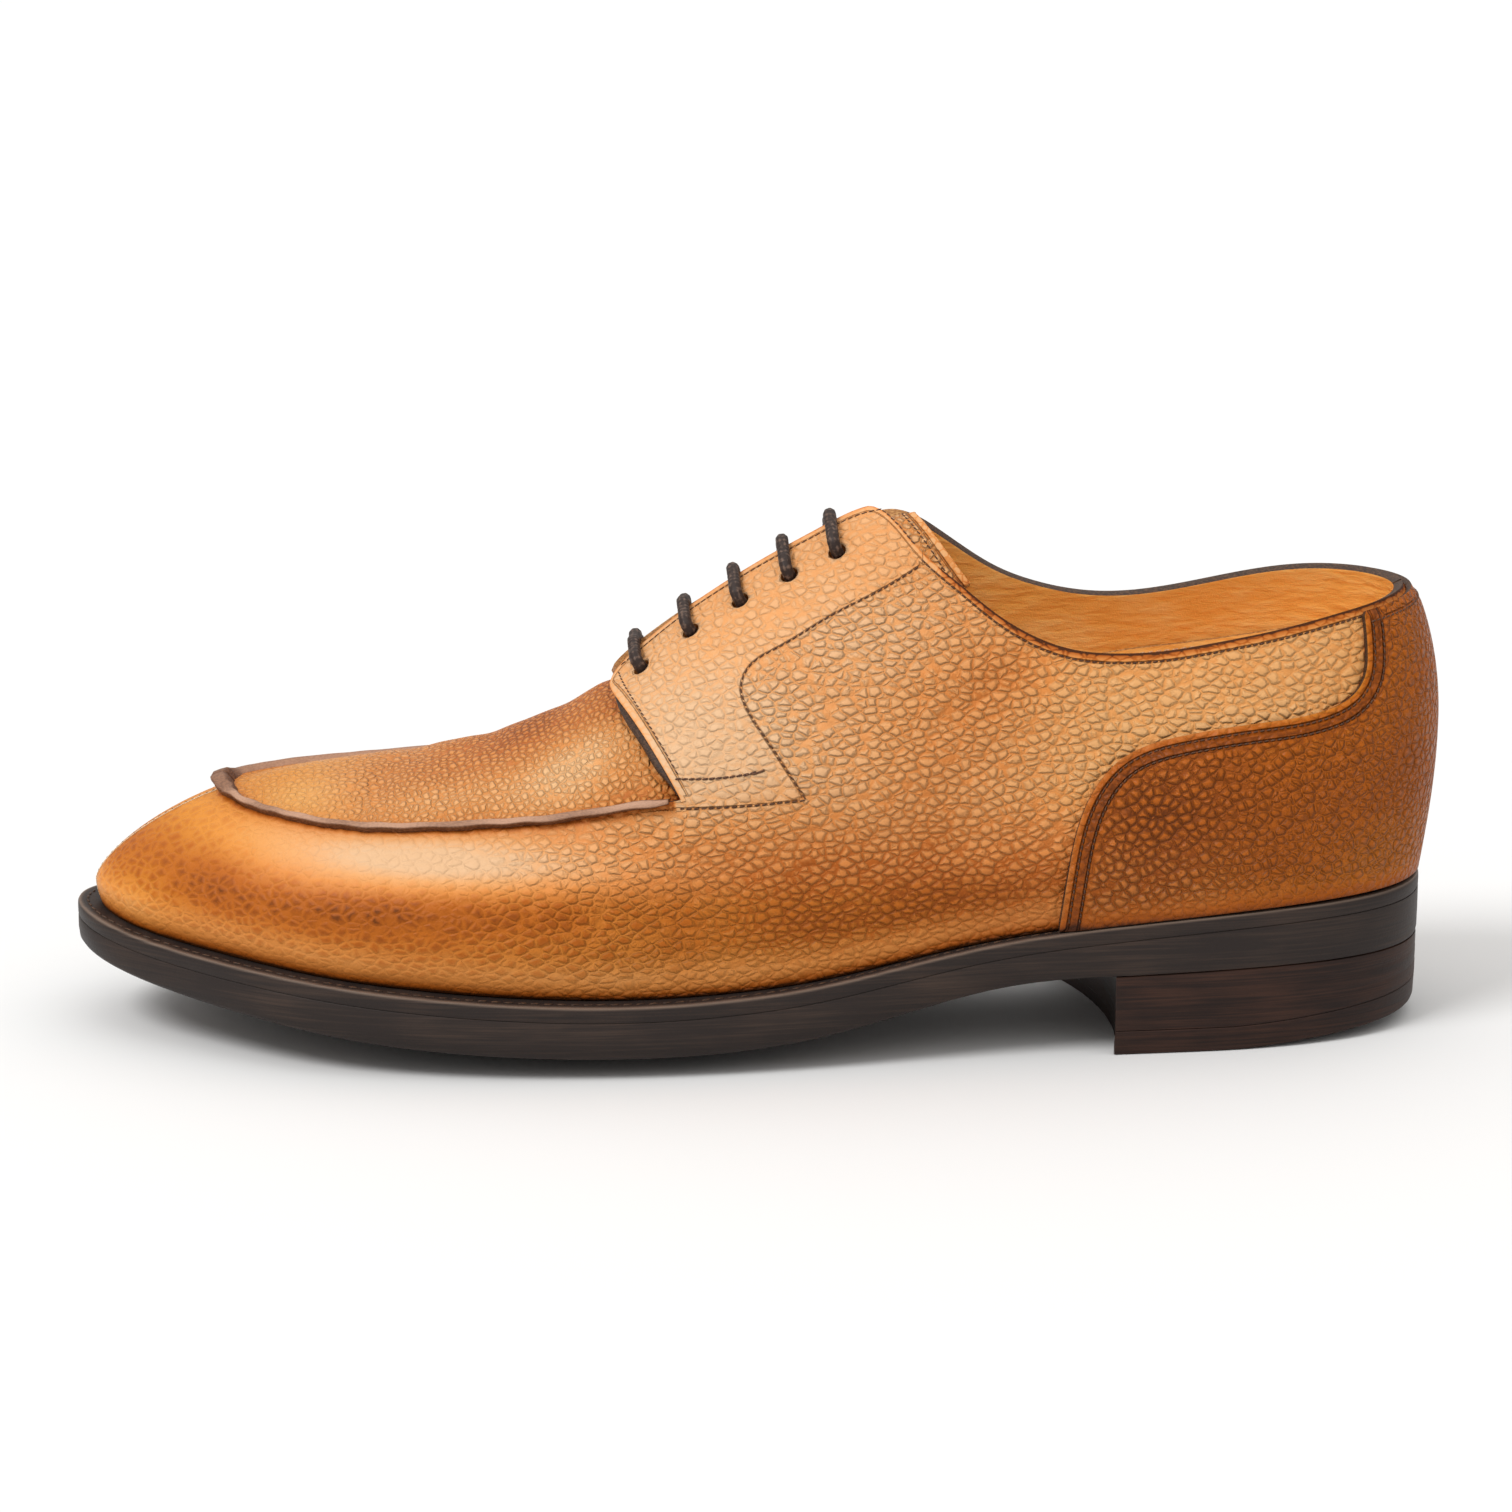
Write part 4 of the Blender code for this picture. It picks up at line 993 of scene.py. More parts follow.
def apronShape(u, v):
    tongueEdge = spline(apronPiece["tongueEdge"])
    share = np.abs(2 * v - 1)
    middle, side = apronPiece["tongueMiddle"], apronPiece["tongueSide"]
    first = place(-1, middle + (side - middle) * share ** 1.5)
    outer = first + (toeTip - first) * u
    station = np.minimum(footEdge(outer)[..., 0], fineEdge.max())
    inner = np.where(u > 1 - 1e-9, toeTip, place(1, station))
    s = np.where(v < 0.5, outer, inner)
    belt = tauByHeight(s, lines["beltHeight"] + 2)
    tongue = np.maximum(tauByDistance(s, tongueEdge(station)), belt)
    edgeTau = np.where(station < lines["tabCorner"] - 3, tongue, seamTau(s, apronPiece["gap"]))
    reach = halfSection(s)[3] + bulge(station)
    edge = reach * np.cos(edgeTau * np.pi / 2) ** (2 / roundness(station))
    tau = tauByDistance(s, edge * share)
    plain = form(s, tau)
    at = centre - plain[..., 0]
    edgeLine = 188.5 - 13 * (share * np.minimum(1.0, edge / (0.8 * reach))) ** 2.2
    under = smooth((edgeLine - at) / 9)
    seamGap = (1 - share) * edge
    relief = creased(at, plain[..., 1], apronPiece["creases"]) * (1 - under) * smooth(seamGap / 5)
    turnUp = 0.8 * np.exp(-(seamGap / 1.6) ** 2) * (station > lines["tabCorner"])
    points = overForm(s, tau, -0.1 - apronPiece["drop"] * under + relief + turnUp)
    half = u.shape[1] // 2
    points[:, half] = (points[:, half - 1] + points[:, half + 1]) / 2
    # painted shade under the lace tabs
    tone = apronPiece["tone"] + apronPiece["underShade"] * under
    tone = tone + apronPiece["toeTone"] * smooth((at - 250) / 24)
    # painted shade beside the raised seam
    tone = tone + apronPiece["seamShade"] * np.exp(-seamGap / 1.6)
    tone = addToneSpots(tone, at, plain[..., 1], apronPiece["toneSpots"]) - apronPiece["endTone"] * (at < 124)
    grain = apronPiece["grain"] + apronPiece["underGrain"] * under
    grain = grain - apronPiece["toeLoss"] * smooth((at - 236) / 20)
    end = np.linalg.norm(points - points[:1], axis=-1) + 0.3
    return points, {
        "tone": tone, "grain": grain, "net": apronPiece["toeNet"] * smooth((at - 225) / 25),
        "rim": np.where(at < 125, end, noMark), "stitch": np.full(u.shape, noMark),
        "honey": apronPiece["toeHoney"] * smooth((at - 236) / 24),
    }


def makeApron():
    piece = gridPiece("apronTongue", apronPiece["along"], 2 * apronPiece["half"], apronShape)
    mergeDoubles(piece, 0.02)
    thicken(piece, apronPiece["thick"], apronPiece["edgeRound"], ("apron", "lining", "rawEdge"))
    return fit(piece, "tan_leather", "apron_tongue")


apronTongue = makeApron()
print("apron and tongue made", len(apronTongue.data.polygons))

# Raised seam round the apron: two edges of leather sewn upright
seamStrip = {
    "along": 460, "around": 16, "length": 190, "half": 0.98, "tall": 1.5, "toeHalf": 1.95, "lean": 0.32,
    "wave": 0.13, "squareness": 0.42,
}


def seamShape(u, v):
    ends = [place(side, lines["tabCorner"] + 2.2) for side in (-1, 1)]
    s = ends[0] + (ends[1] - ends[0]) * (0.001 + 0.998 * u)
    tau = seamTau(s, 0.35)
    base, normal = onFace(s, tau), outward(s, tau)
    out = np.cross(unit(np.gradient(base, axis=0)), normal)
    out = out * np.where(out[..., 2:] > 0, -1, 1)
    station = footEdge(s)[..., 0]
    toe, horn = smooth((station - 286) / 14), smooth((station - 293) / 9)
    notch = np.exp(-((s - toeTip) * 700 / 1.1) ** 2)
    run = u * seamStrip["length"]
    half = seamStrip["half"] + (seamStrip["toeHalf"] - seamStrip["half"]) * toe
    half = half * (1 + 0.10 * np.sin(run * 0.71) * np.sin(run * 0.23 + 1))
    half = half * (0.65 + 0.35 * smooth(np.minimum(u, 1 - u) * 60)) * (1 - 0.25 * notch)
    turn = v * 2 * np.pi
    power = seamStrip["squareness"]
    wide = np.sign(np.cos(turn)) * np.abs(np.cos(turn)) ** power * half
    tall = np.sign(np.sin(turn)) * np.abs(np.sin(turn)) ** power
    tall = tall * (seamStrip["tall"] + 0.75 * horn - 0.7 * notch) + 1.0 + 0.5 * horn - 0.5 * notch
    wobble = seamStrip["wave"] * np.sin(run * 0.9 + 0.7 * np.sin(run * 0.31))
    wide = wide + seamStrip["lean"] * tall + wobble * smooth(tall)
    # pale along the seam's top and on the upper flank of its far half: partly rubbing, partly painted
    # highlight and painted sheen
    top = smooth((np.sin(turn) - 0.55) / 0.35) * (0.75 + 0.25 * np.sin(run * 0.37))
    top = np.maximum(top, smooth(-np.cos(turn) - 0.2) * smooth((u - 0.54) / 0.04)) * (1 - 0.7 * toe)
    return base + out * wide[..., None] + normal * tall[..., None], {"worn": top}


apronSeam = gridPiece("apronSeam", seamStrip["along"], seamStrip["around"], seamShape)
mergeDoubles(apronSeam)
capEnds(apronSeam)
dress(apronSeam, "seam", "dark_leather", "apron_seam")
print("apron seam made")

# Counter laid over the back of the upper
counterPiece = {
    "columns": 380, "rows": 72, "lift": 0.95, "thick": 1.4, "edgeRound": 0.4, "foot": -0.965,
    "below": 1.2, "pressed": 0.75, "pressedWide": 2.6,
    # tone of the leather, the painted shade added at the rear and at the welt, what is added between the
    # rows, and what is taken off at the edge
    "tone": 0.40, "rearShade": 0.10, "weltShade": 0.75, "bandTone": 0.34, "edgeTone": 0.16, "rearNet": 0.8,
    # station of the foot edge, height
    "edge": ((15, 97), (16.5, 90), (18, 85), (21, 81), (27, 78), (42, 75.6), (58, 73.2), (73, 68),
             (80, 60), (84, 48), (86, 31)),
    # distances of the two stitch rows from the edge, and of the one along the collar
    "stitchRows": (1.7, 4.1), "collarRow": 2.4,
    # station, height, length, tall, tone added
    "toneSpots": ((60, 58, 24, 14, 0.20), (28, 86, 18, 10, -0.14), (40, 34, 34, 7, -0.08),
               (10, 40, 14, 14, -0.10)),
}


def edgeRun(table):
    # an edge given as station and height, as even points along it
    table = np.array(table, float)
    station, height = pathAt(table, np.linspace(0, lengths(table)[-1], 400)).T
    return np.maximum.accumulate(station), height


def heelFan(u, v, table, foot, below=None, backShare=0.2):
    # round the back of the foot: columns fan from the foot up to an edge that falls forward on both sides,
    # and that follows the collar at the back where below is given
    station, height = edgeRun(table)
    k, outer = np.abs(2 * u - 1), u < 0.5
    onEdge = np.clip((k - backShare) / (1 - backShare), 0, 1) * (len(station) - 1)
    at, asked = [np.interp(onEdge, np.arange(len(station)), values) for values in (station, height)]
    edge = np.where(outer, place(-1, at), place(1, at) - 1) * np.clip(k / backShare, 0, 1)
    if below is not None:
        limit = form(edge, np.where(outer, topTau(edge, -1), topTau(edge, 1)))[..., 2] - below
        asked = np.where(k < backShare, limit, np.minimum(asked, limit))
    start = np.where(outer, place(-1, station[-1]), place(1, station[-1]) - 1) * k
    return start + (edge - start) * v, foot + v * (tauAtHeight(edge, asked) - foot), k < backShare


def counterShape(u, v):
    s, tau, atBack = heelFan(u, v, counterPiece["edge"], counterPiece["foot"], counterPiece["below"])
    full = np.full(u.shape, counterPiece["lift"] + counterPiece["thick"])
    points = overForm(s, tau, full)
    at, height = centre - points[..., 0], points[..., 2]
    above = height - soleEdge(at) - soleThick(at)
    edge, back, outer = points[:, -1], atBack[:, 0], u[:, 0] < 0.5
    rim = np.minimum(toLine(points, edge[~back & outer]), toLine(points, edge[~back & ~outer]))
    collarRim = toLine(points, edge[back])
    nearest = np.minimum(rim, collarRim)
    pressed = counterPiece["pressed"] * np.exp(-(nearest / counterPiece["pressedWide"]) ** 2)
    points = overForm(s, tau, full - pressed)
    # painted shade on the back of the heel, which turns away from the light
    tone = counterPiece["tone"] + counterPiece["rearShade"] * smooth((60 - at) / 40)
    # painted shade where the counter meets the welt
    tone = tone + counterPiece["weltShade"] * np.exp(-above / 1.6)
    tone = tone + counterPiece["bandTone"] * np.exp(-((rim - 3.0) / 1.7) ** 2)
    tone = addToneSpots(tone - counterPiece["edgeTone"] * np.exp(-rim / 0.6), at, height, counterPiece["toneSpots"])
    grain = (0.30 + 0.70 * smooth((rim - 4.2) / 2.5)) * (0.25 + 0.75 * smooth((above - 1) / 7))
    first, second = counterPiece["stitchRows"]
    stitch = np.where(rim < (first + second) / 2, rim - first, second - rim)
    stitch = np.where((rim > second + 1) & (collarRim < 8), counterPiece["collarRow"] - collarRim, stitch)
    net = counterPiece["rearNet"] * smooth((66 - at) / 34) * smooth((rim - 4.5) / 3)
    marks = {"tone": tone, "grain": grain, "net": net, "stitch": stitch, "honey": smooth((64 - at) / 40)}
    return points, {**marks, "rim": nearest + 2.9}


def makeCounter():
    piece = gridPiece("heelCounter", counterPiece["columns"], counterPiece["rows"], counterShape)
    thicken(piece, counterPiece["thick"], counterPiece["edgeRound"], ("counter", "lining", "paintedEdge"))
    return fit(piece, "dark_leather", "heel_counter")


heelCounter = makeCounter()
print("counter made", len(heelCounter.data.polygons))

# Grip of thin leather round the inside of the heel
gripPiece = {
    "columns": 170, "rows": 34, "lift": -2.3, "thick": 0.8, "edgeRound": 0.2, "foot": -0.8,
    "stitchInside": 1.3,
    # station of the foot edge, height
    "edge": ((12, 88), (30, 84.5), (50, 82), (66, 80.8), (76, 78), (82, 71), (85, 60), (86, 44)),
}


def gripShape(u, v):
    s, tau = heelFan(u, v, gripPiece["edge"], gripPiece["foot"])[:2]
    return overForm(s, tau, np.full(u.shape, gripPiece["lift"])), {}


heelGrip = gridPiece("heelGrip", gripPiece["columns"], gripPiece["rows"], gripShape)
thicken(heelGrip, gripPiece["thick"], gripPiece["edgeRound"], ("lining", "lining", "rawEdge"))
fit(heelGrip, "lining_leather", "insole")
print("heel grip made")

# Sole pieces: crossings from heel to toe, each one closed loop round the plate
soleParts = {
    "steps": 230, "across": 16, "weltThick": 3.6, "weltGap": 0.03, "insoleThick": 2.4, "insoleLift": 0.3,
}


def soleBottom(flat, share):
    low, high = soleCentre(flat[..., 0]), soleEdge(flat[..., 0])
    out = np.clip((np.abs(2 * share - 1) - 0.36) / 0.64, 0, 1) ** 2
    return np.maximum(low + (high - low) * out, 0)


def soleTop(flat):
    return soleEdge(flat[..., 0]) + soleThick(flat[..., 0])


def overBottom(add):
    return lambda flat, share: soleBottom(flat, share) + add


def overTop(add):
    return lambda flat, share: soleTop(flat) + add


def rimLoop(levels, across):
    # the level and the share across of each place round one crossing
    up = list(range(1, levels - 1))
    loop = [(0, k / across) for k in range(across + 1)] + [(k, 1.0) for k in up]
    loop += [(levels - 1, 1 - k / across) for k in range(across + 1)] + [(k, 0.0) for k in reversed(up)]
    return loop + [(0, 0.0)]


def plateShape(rims, follow, heelKeep):
    loop = rimLoop(len(rims), soleParts["across"])

    def shape(u, v):
        turn = u[:, 0] * np.pi
        steps = 0.55 * (1 - np.cos(turn)) / 2 + 0.45 * u[:, 0]
        runs = toeTip * steps, 1 - (1 - toeTip) * steps
        points, worn = np.zeros(u.shape + (3,)), np.zeros(u.shape)
        for j, (level, share) in enumerate(loop):
            amount, height, rub = rims[level]
            edges = []
            for run in runs:
                station = outline(run)[:, 0]
                kept = heelKeep + (1 - heelKeep) * smooth((station - 68) / 12)
                edges.append(inset(run, amount * kept + follow * soleMargin(station)))
            flat = edges[0] * (1 - share) + edges[1] * share
            points[:, j] = standing(flat, height(flat, share))
            worn[:, j] = rub if share in (0.0, 1.0) else 0.0
        return points, {"worn": worn}

    return shape, len(loop) - 1


def makePlate(name, rims, material, slot, node, follow=0.0, heelKeep=1.0):
    # a rim has an inset, a height and how worn it is; heelKeep is the share of the insets kept over the heel
    shape, around = plateShape(rims, follow, heelKeep)
    piece = gridPiece(name, soleParts["steps"], around, shape)
    mergeDoubles(piece, 0.02, True)
    return dress(piece, material, slot, node, angle=40)


weltFoot = -soleParts["weltThick"]
plateTop = weltFoot - soleParts["weltGap"]
outsole = makePlate("outsole", (
    (2.4, soleBottom, 0.0), (0.9, overBottom(0.25), 0.25), (0.25, overBottom(1.1), 0.1),
    (0.0, lambda flat, share: soleBottom(flat, share) * 0.5 + (soleTop(flat) + plateTop) * 0.5, 0.0),
    (0.02, overTop(plateTop - 0.35), 0.0), (0.18, overTop(plateTop - 0.05), 0.0),
    (1.2, overTop(plateTop), 0.0),
), "soleEdge", "sole_leather", "outsole", heelKeep=0.3)
paintFaces(outsole, "soleFace", underneath)
welt = makePlate("welt", (
    (1.2, overTop(weltFoot), 0.0), (0.16, overTop(weltFoot + 0.05), 0.0),
    (0.02, overTop(weltFoot + 0.4), 0.0), (0.0, overTop(-1.5), 0.0), (0.05, overTop(-0.75), 0.35),
    (0.35, overTop(-0.2), 1.0), (0.95, overTop(0.0), 0.55), (2.2, overTop(0.0), 0.0),
), "soleEdge", "sole_leather", "welt")
insoleFoot = soleParts["insoleLift"]
makePlate("insole", (
    (2.8, overTop(insoleFoot), 0.0), (2.4, overTop(insoleFoot + 1.3), 0.0),
    (2.9, overTop(insoleFoot + soleParts["insoleThick"]), 0.0),
), "lining", "lining_leather", "insole", 1.0)
print("sole made")

# Heel: crossings from the back to the breast, which is hollow and slants forward on the inner side
heelPart = {
    "steps": 90, "across": 14, "breastOuter": 73.0, "breastInner": 80.0, "hollow": 5.0, "rearRise": 4.0,
    "topThick": 5.6, "lifts": 3, "gap": 0.04,
}


def heelFloor(flat):
    return heelPart["rearRise"] * np.clip((46 - flat[..., 0]) / 46, 0, 1) ** 1.3


def heelUnder(flat):
    share = []
    for side in (-1, 1):
        ring = outline(fineRun[sideRuns[side]])
        order = np.argsort(ring[:, 0])
        share.append(np.interp(flat[..., 0], ring[order, 0], ring[order, 1]))
    return soleBottom(flat, np.clip((flat[..., 1] - share[0]) / (share[1] - share[0]), 0, 1))


def heelShape(rims):
    loop = rimLoop(len(rims), heelPart["across"])

    def shape(u, v):
        # the last column folds the loop flat across the breast
        k = np.clip(u[:, 0] * (heelPart["steps"] + 1) / heelPart["steps"], 0, 1)
        run = 0.3 * np.sin(k * np.pi / 2) + 0.7 * k
        ends = place(-1, heelPart["breastOuter"]), place(1, heelPart["breastInner"])
        points, worn = np.zeros(u.shape + (3,)), np.zeros(u.shape)
        for j, (level, share) in enumerate(loop):
            amount, height, rub = rims[level]
            runs = ends[0] * run, 1 - (1 - ends[1]) * run
            edges = [inset(along, np.full(len(run), amount)) for along in runs]
            flat = edges[0] * (1 - share) + edges[1] * share
            flat[:, 0] -= heelPart["hollow"] * 4 * share * (1 - share) * run ** 3
            tall = height(flat)
            low, high = rims[0][1](flat), rims[-1][1](flat)
            tall = np.where(u[:, 0] > 1 - 1e-9, (low + high) / 2, tall)
            points[:, j] = standing(flat, tall)
            worn[:, j] = rub if share in (0.0, 1.0) else 0.0
        # there, all places with about the same share stand in one upright line
        shares = np.array([share for level, share in loop])
        points[-1, :, :2] = points[-1, [np.argmin(np.abs(shares - share)) for share in shares], :2]
        return points, {"worn": worn}

    return shape, len(loop) - 1


def makeHeel(name, rims, material, slot, node):
    shape, around = heelShape(rims)
    piece = gridPiece(name, heelPart["steps"] + 1, around, shape)
    mergeDoubles(piece, 0.02, True)
    return dress(piece, material, slot, node, angle=32)


def overFloor(add):
    return lambda flat: heelFloor(flat) + add


def heelLevel(share):
    def height(flat):
        low = heelFloor(flat) + heelPart["topThick"] + heelPart["gap"]
        return low + (heelUnder(flat) - heelPart["gap"] - low) * share

    return height


def liftRims():
    rims = [(0.6, heelLevel(0.0), 0.0)]
    for k in range(heelPart["lifts"]):
        low, high = k / heelPart["lifts"], (k + 1) / heelPart["lifts"]
        rims += [(0.27, heelLevel(low + 0.012), 0.1), (0.20, heelLevel(low + 0.05), 0.2),
                 (0.18, heelLevel(high - 0.05), 0.0), (0.26, heelLevel(high - 0.012), 0.0)]
    return rims + [(0.6, heelLevel(1.0), 0.0)]


heelTop = makeHeel("heelTopPiece", (
    (1.6, heelFloor, 0.0), (0.70, overFloor(0.25), 0.2), (0.42, overFloor(1.0), 0.0),
    (0.24, overFloor(heelPart["topThick"] - 0.2), 0.0), (0.36, overFloor(heelPart["topThick"]), 0.0),
), "heelEdge", "rubber", "heel_top_piece")
paintFaces(heelTop, "rubber", underneath)
makeHeel("heelStack", liftRims(), "heelEdge", "sole_leather", "heel_stack")
print("heel made")

# Lace: one round cord in five straight bars
lacePart = {
    "radius": 1.5, "step": 0.34, "around": 32, "ridges": 8, "plait": 1.35, "relief": 0.085, "bend": 2.0,
    "sag": 2.8, "beside": 3.6, "shift": 3.7,
}


def laceLine():
    radius, wall = lacePart["radius"], last["wall"]
    under, over = last["tabLift"] - wall - 0.4 - radius, last["tabLift"] + 0.25 + radius
    bend, beside, shift = lacePart["bend"], lacePart["beside"], lacePart["shift"]
    points = []

    def at(side, station, distance, height):
        s = place(side, station)
        tau = tauByDistance(s, distance)
        return form(s, tau) + outward(s, tau) * height

    def hole(station):
        return float(facingDistance(station)) + lines["eyeletInset"]

    def through(side, station, towards, upward):
        # a quarter turn under the tab, the leg in the hole, a quarter turn on top towards the facing edge
        s, tau = eyeletSpot(side, station)
        base, normal = form(s, tau), outward(s, tau)
        aims = []
        for aim in (at(side, station, hole(station) - 6, 0), towards):
            aim = aim - base
            aims.append(unit(aim - normal * aim.dot(normal)))
        leg = []
        for turn in np.radians((0, 30, 60, 90)):
            depth = under + bend * (1 - math.cos(turn))
            leg.append(base + aims[1] * bend * (1 - math.sin(turn)) + normal * depth)
        for turn in np.radians((0, 30, 60, 90)):
            depth = over - bend * (1 - math.sin(turn))
            leg.append(base + aims[0] * bend * (1 - math.cos(turn)) + normal * depth)
        points.extend(leg if upward else leg[::-1])

    def run(side, first, second, aside):
        # under the tab from one hole to another, past any hole between them
        for k, share in zip((0.22, 0.36, 0.5, 0.64, 0.78), (0.62, 0.92, 1.0, 0.92, 0.62)):
            station = first + (second - first) * k
            points.append(at(side, station, hole(station) + aside * share, under))

    def bar(station, fromSide):
        # up each tab to its facing edge, and straight across between the two with a slight sag
        legs = []
        for side in (fromSide, -fromSide):
            edge = float(facingAt(station, side))
            distances = edge + (hole(station) - edge) * np.array((0.68, 0.36, 0.02))
            legs.append([at(side, station, distance, over) for distance in distances])
        span = legs[1][-1] - legs[0][-1]
        middle = [legs[0][-1] + span * k - (0, 0, lacePart["sag"] * k * (1 - k)) for k in (0.25, 0.5, 0.75)]
        points.extend(legs[0] + middle + legs[1][::-1])

    one, two, three, four, five = lines["eyelets"]
    outer, inner = -1, 1
    start = [at(outer, five + 3.6, hole(five) - 3.4, under), at(outer, five + 6.0, hole(five) - 1.6, under)]
    points.extend(start)
    through(outer, four, start[-1], True)
    bar(four, outer)
    through(inner, four, at(inner, three, hole(three) + beside, under), False)
    run(inner, four, two, shift)
    through(inner, two, at(inner, three, hole(three) + beside, under), True)
    bar(two, inner)
    through(outer, two, at(outer, one, hole(one), under), False)
    through(outer, one, at(outer, two, hole(two), under), True)
    bar(one, outer)
    through(inner, one, at(inner, two, hole(two) - shift, under), False)
    run(inner, one, three, -shift)
    through(inner, three, at(inner, two, hole(two) - shift, under), True)
    bar(three, inner)
    through(outer, three, at(outer, four, hole(four) + beside, under), False)
    run(outer, three, five, shift)
    through(outer, five, at(outer, four, hole(four) + beside, under), True)
    bar(five, outer)
    through(inner, five, at(inner, four, hole(four) - 1.0, under), False)
    points.append(at(inner, five + 5.0, hole(five) - 1.0, under))
    path = np.array(points)
    long = lengths(path)[-1]
    return pathAt(path, np.linspace(0, long, int(long / lacePart["step"])))


def ringFrames(path):
    # two directions across a path that turn with it as little as they can
    along = unit(np.gradient(path, axis=0))
    first = np.zeros(path.shape)
    guide = np.cross(along[0], (0, 0, 1.0))
    for k, direction in enumerate(along):
        guide = unit(guide - direction * guide.dot(direction))
        first[k] = guide
    return first, np.cross(along, first)


def makeLace():
    path = laceLine()
    first, second = ringFrames(path)

    def shape(u, v):
        k = np.rint(u * (len(path) - 1)).astype(int)
        turn = v * 2 * np.pi
        run = k * lacePart["step"] * 2 * np.pi / lacePart["plait"]
        plait = 0.5 * (np.cos(lacePart["ridges"] * turn) - np.cos(run))
        wide = lacePart["radius"] - lacePart["relief"] + lacePart["relief"] * plait
        out = first[k] * np.cos(turn)[..., None] + second[k] * np.sin(turn)[..., None]
        return path[k] + out * wide[..., None], {"plait": plait * 0.5 + 0.5}

    piece = gridPiece("lace", len(path) - 1, lacePart["around"], shape)
    mergeDoubles(piece, 0.005)
    capEnds(piece)
    return dress(piece, "lace", "lace_cotton", "lace")


lace = makeLace()
print("lace made", len(lace.data.polygons))

# Stitching: one stitch is modelled and copied along each row
stitchPart = {"size": (1.36, 0.38, 0.36), "pitch": 1.65, "slant": 7.0, "lift": 0.06, "look": 0.4}


def oneStitch():
    clearPick()
    bpy.ops.mesh.primitive_uv_sphere_add(segments=6, ring_count=4, radius=0.5)
    ball = bpy.context.object
    points = np.array([vertex.co for vertex in ball.data.vertices])[:, (2, 0, 1)]
    faces = [tuple(face.vertices) for face in ball.data.polygons]
    bpy.data.objects.remove(ball)
    points[:, 0] = np.sign(points[:, 0]) * np.abs(points[:, 0] * 2) ** 0.8 / 2
    return points, faces


stitchPoints, stitchFaces = oneStitch()


def rowAt(row, run, at):
    return np.stack([np.interp(at, run, row[:, k]) for k in range(3)], -1)


def sew(name, rows, carrier, material="thread", slot="dark_leather", **changes):
    # rows are lines of points in millimetres near the carrier's face
    stitch = {**stitchPart, **changes}
    body, lean = stitchPoints * np.array(stitch["size"]), math.radians(stitch["slant"])
    tree = BVHTree.FromObject(carrier, bpy.context.evaluated_depsgraph_get())
    allPoints, allFaces = [], []
    for row in rows:
        run = lengths(row)
        count = max(1, int(run[-1] / stitch["pitch"]))
        at = (np.arange(count) + 0.5) * run[-1] / count
        ahead = rowAt(row, run, at + stitch["look"]) - rowAt(row, run, at - stitch["look"])
        for spot, direction in zip(rowAt(row, run, at), ahead):
            where, normal = tree.find_nearest(Vector(spot * mm))[:2]
            normal = np.array(normal)
            along = unit(direction - normal * direction.dot(normal))
            across = np.cross(normal, along)
            forward = along * math.cos(lean) + across * math.sin(lean)
            across = across * math.cos(lean) - along * math.sin(lean)
            placed = body[:, :1] * forward + body[:, 1:2] * across + body[:, 2:] * normal
            start = len(allPoints) * len(stitchPoints)
            allPoints.append(placed + np.array(where) / mm + normal * stitch["lift"])
            allFaces += [tuple(k + start for k in face) for face in stitchFaces]
    mesh = bpy.data.meshes.new(name)
    mesh.from_pydata((np.vstack(allPoints) * mm).tolist(), [], allFaces)
    piece = bpy.data.objects.new(name, mesh)
    bpy.context.scene.collection.objects.link(piece)
    return dress(piece, material, slot)


def edgeRows(side, inside):
    # rows inside the facing edge, the collar and the front of the lace tab
    station = np.linspace(lines["facingEnd"], lines["tabCorner"] + lines["tabSlant"] - inside - 0.6, 160)
    s = place(side, station)
    tau = np.minimum(topTau(s, side), tauByDistance(s, facingAt(station, side) + inside))
    facingRow = onFace(s, tau)
    s = place(side, np.linspace(lines["facingEnd"] - 1, 12, 220))
    top = topTau(s, side)
    rate = np.linalg.norm(form(s, top) - form(s, top - 0.01), axis=-1) / 0.01
    collarRow = onFace(s, top - inside / rate)
    v = np.linspace(0.10, 0.93, 60)
    s = place(side, lines["tabCorner"] - inside + lines["tabSlant"] * tabLean(v))
    low = tauByHeight(s, lines["beltHeight"])
    frontRow = onFace(s, low + v * (topTau(s, side) - low))
    return facingRow, collarRow, frontRow


def tripled(row):
    # a short bar of stitches worked over again at its end
    end, shift = row[-int(len(row) * 0.24):], np.array((0.7, 0, 0.24))
    return [row, end + shift, end - shift]


for side, piece, rows in ((-1, sideOuter, outerRows), (1, sideInner, innerRows)):
    facingRow, collarRow, frontRow = edgeRows(side, sidePanel["edgeRow"])
    sew(piece.name + "Stitches", [rows["eyestay"], rows["lowerRow"], facingRow, frontRow], piece)
    sew(piece.name + "BarStitches", tripled(rows["barRow"]), piece, pitch=1.5, size=(1.5, 0.6, 0.5))
    sew(piece.name + "CollarStitches", [collarRow], piece, pitch=1.5, size=(1.25, 0.36, 0.32))


def insideRows(table, distances, lift):
    # rows that follow an edge round the heel, inside it
    station, height = edgeRun(table)
    heelMiddle = np.array((centre, 0, 50.0))
    rows = []
    for side in (-1, 1):
        s = place(side, station)
        tau = tauAtHeight(s, height)
        edge = overForm(s, tau, np.full(len(s), lift))
        inwards = np.cross(outward(s, tau), np.gradient(edge, axis=0))
        inwards = unit(inwards * np.sign(np.sum(inwards * (heelMiddle - edge), axis=1))[:, None])
        rows += [edge + inwards * inside for inside in distances]
    return rows


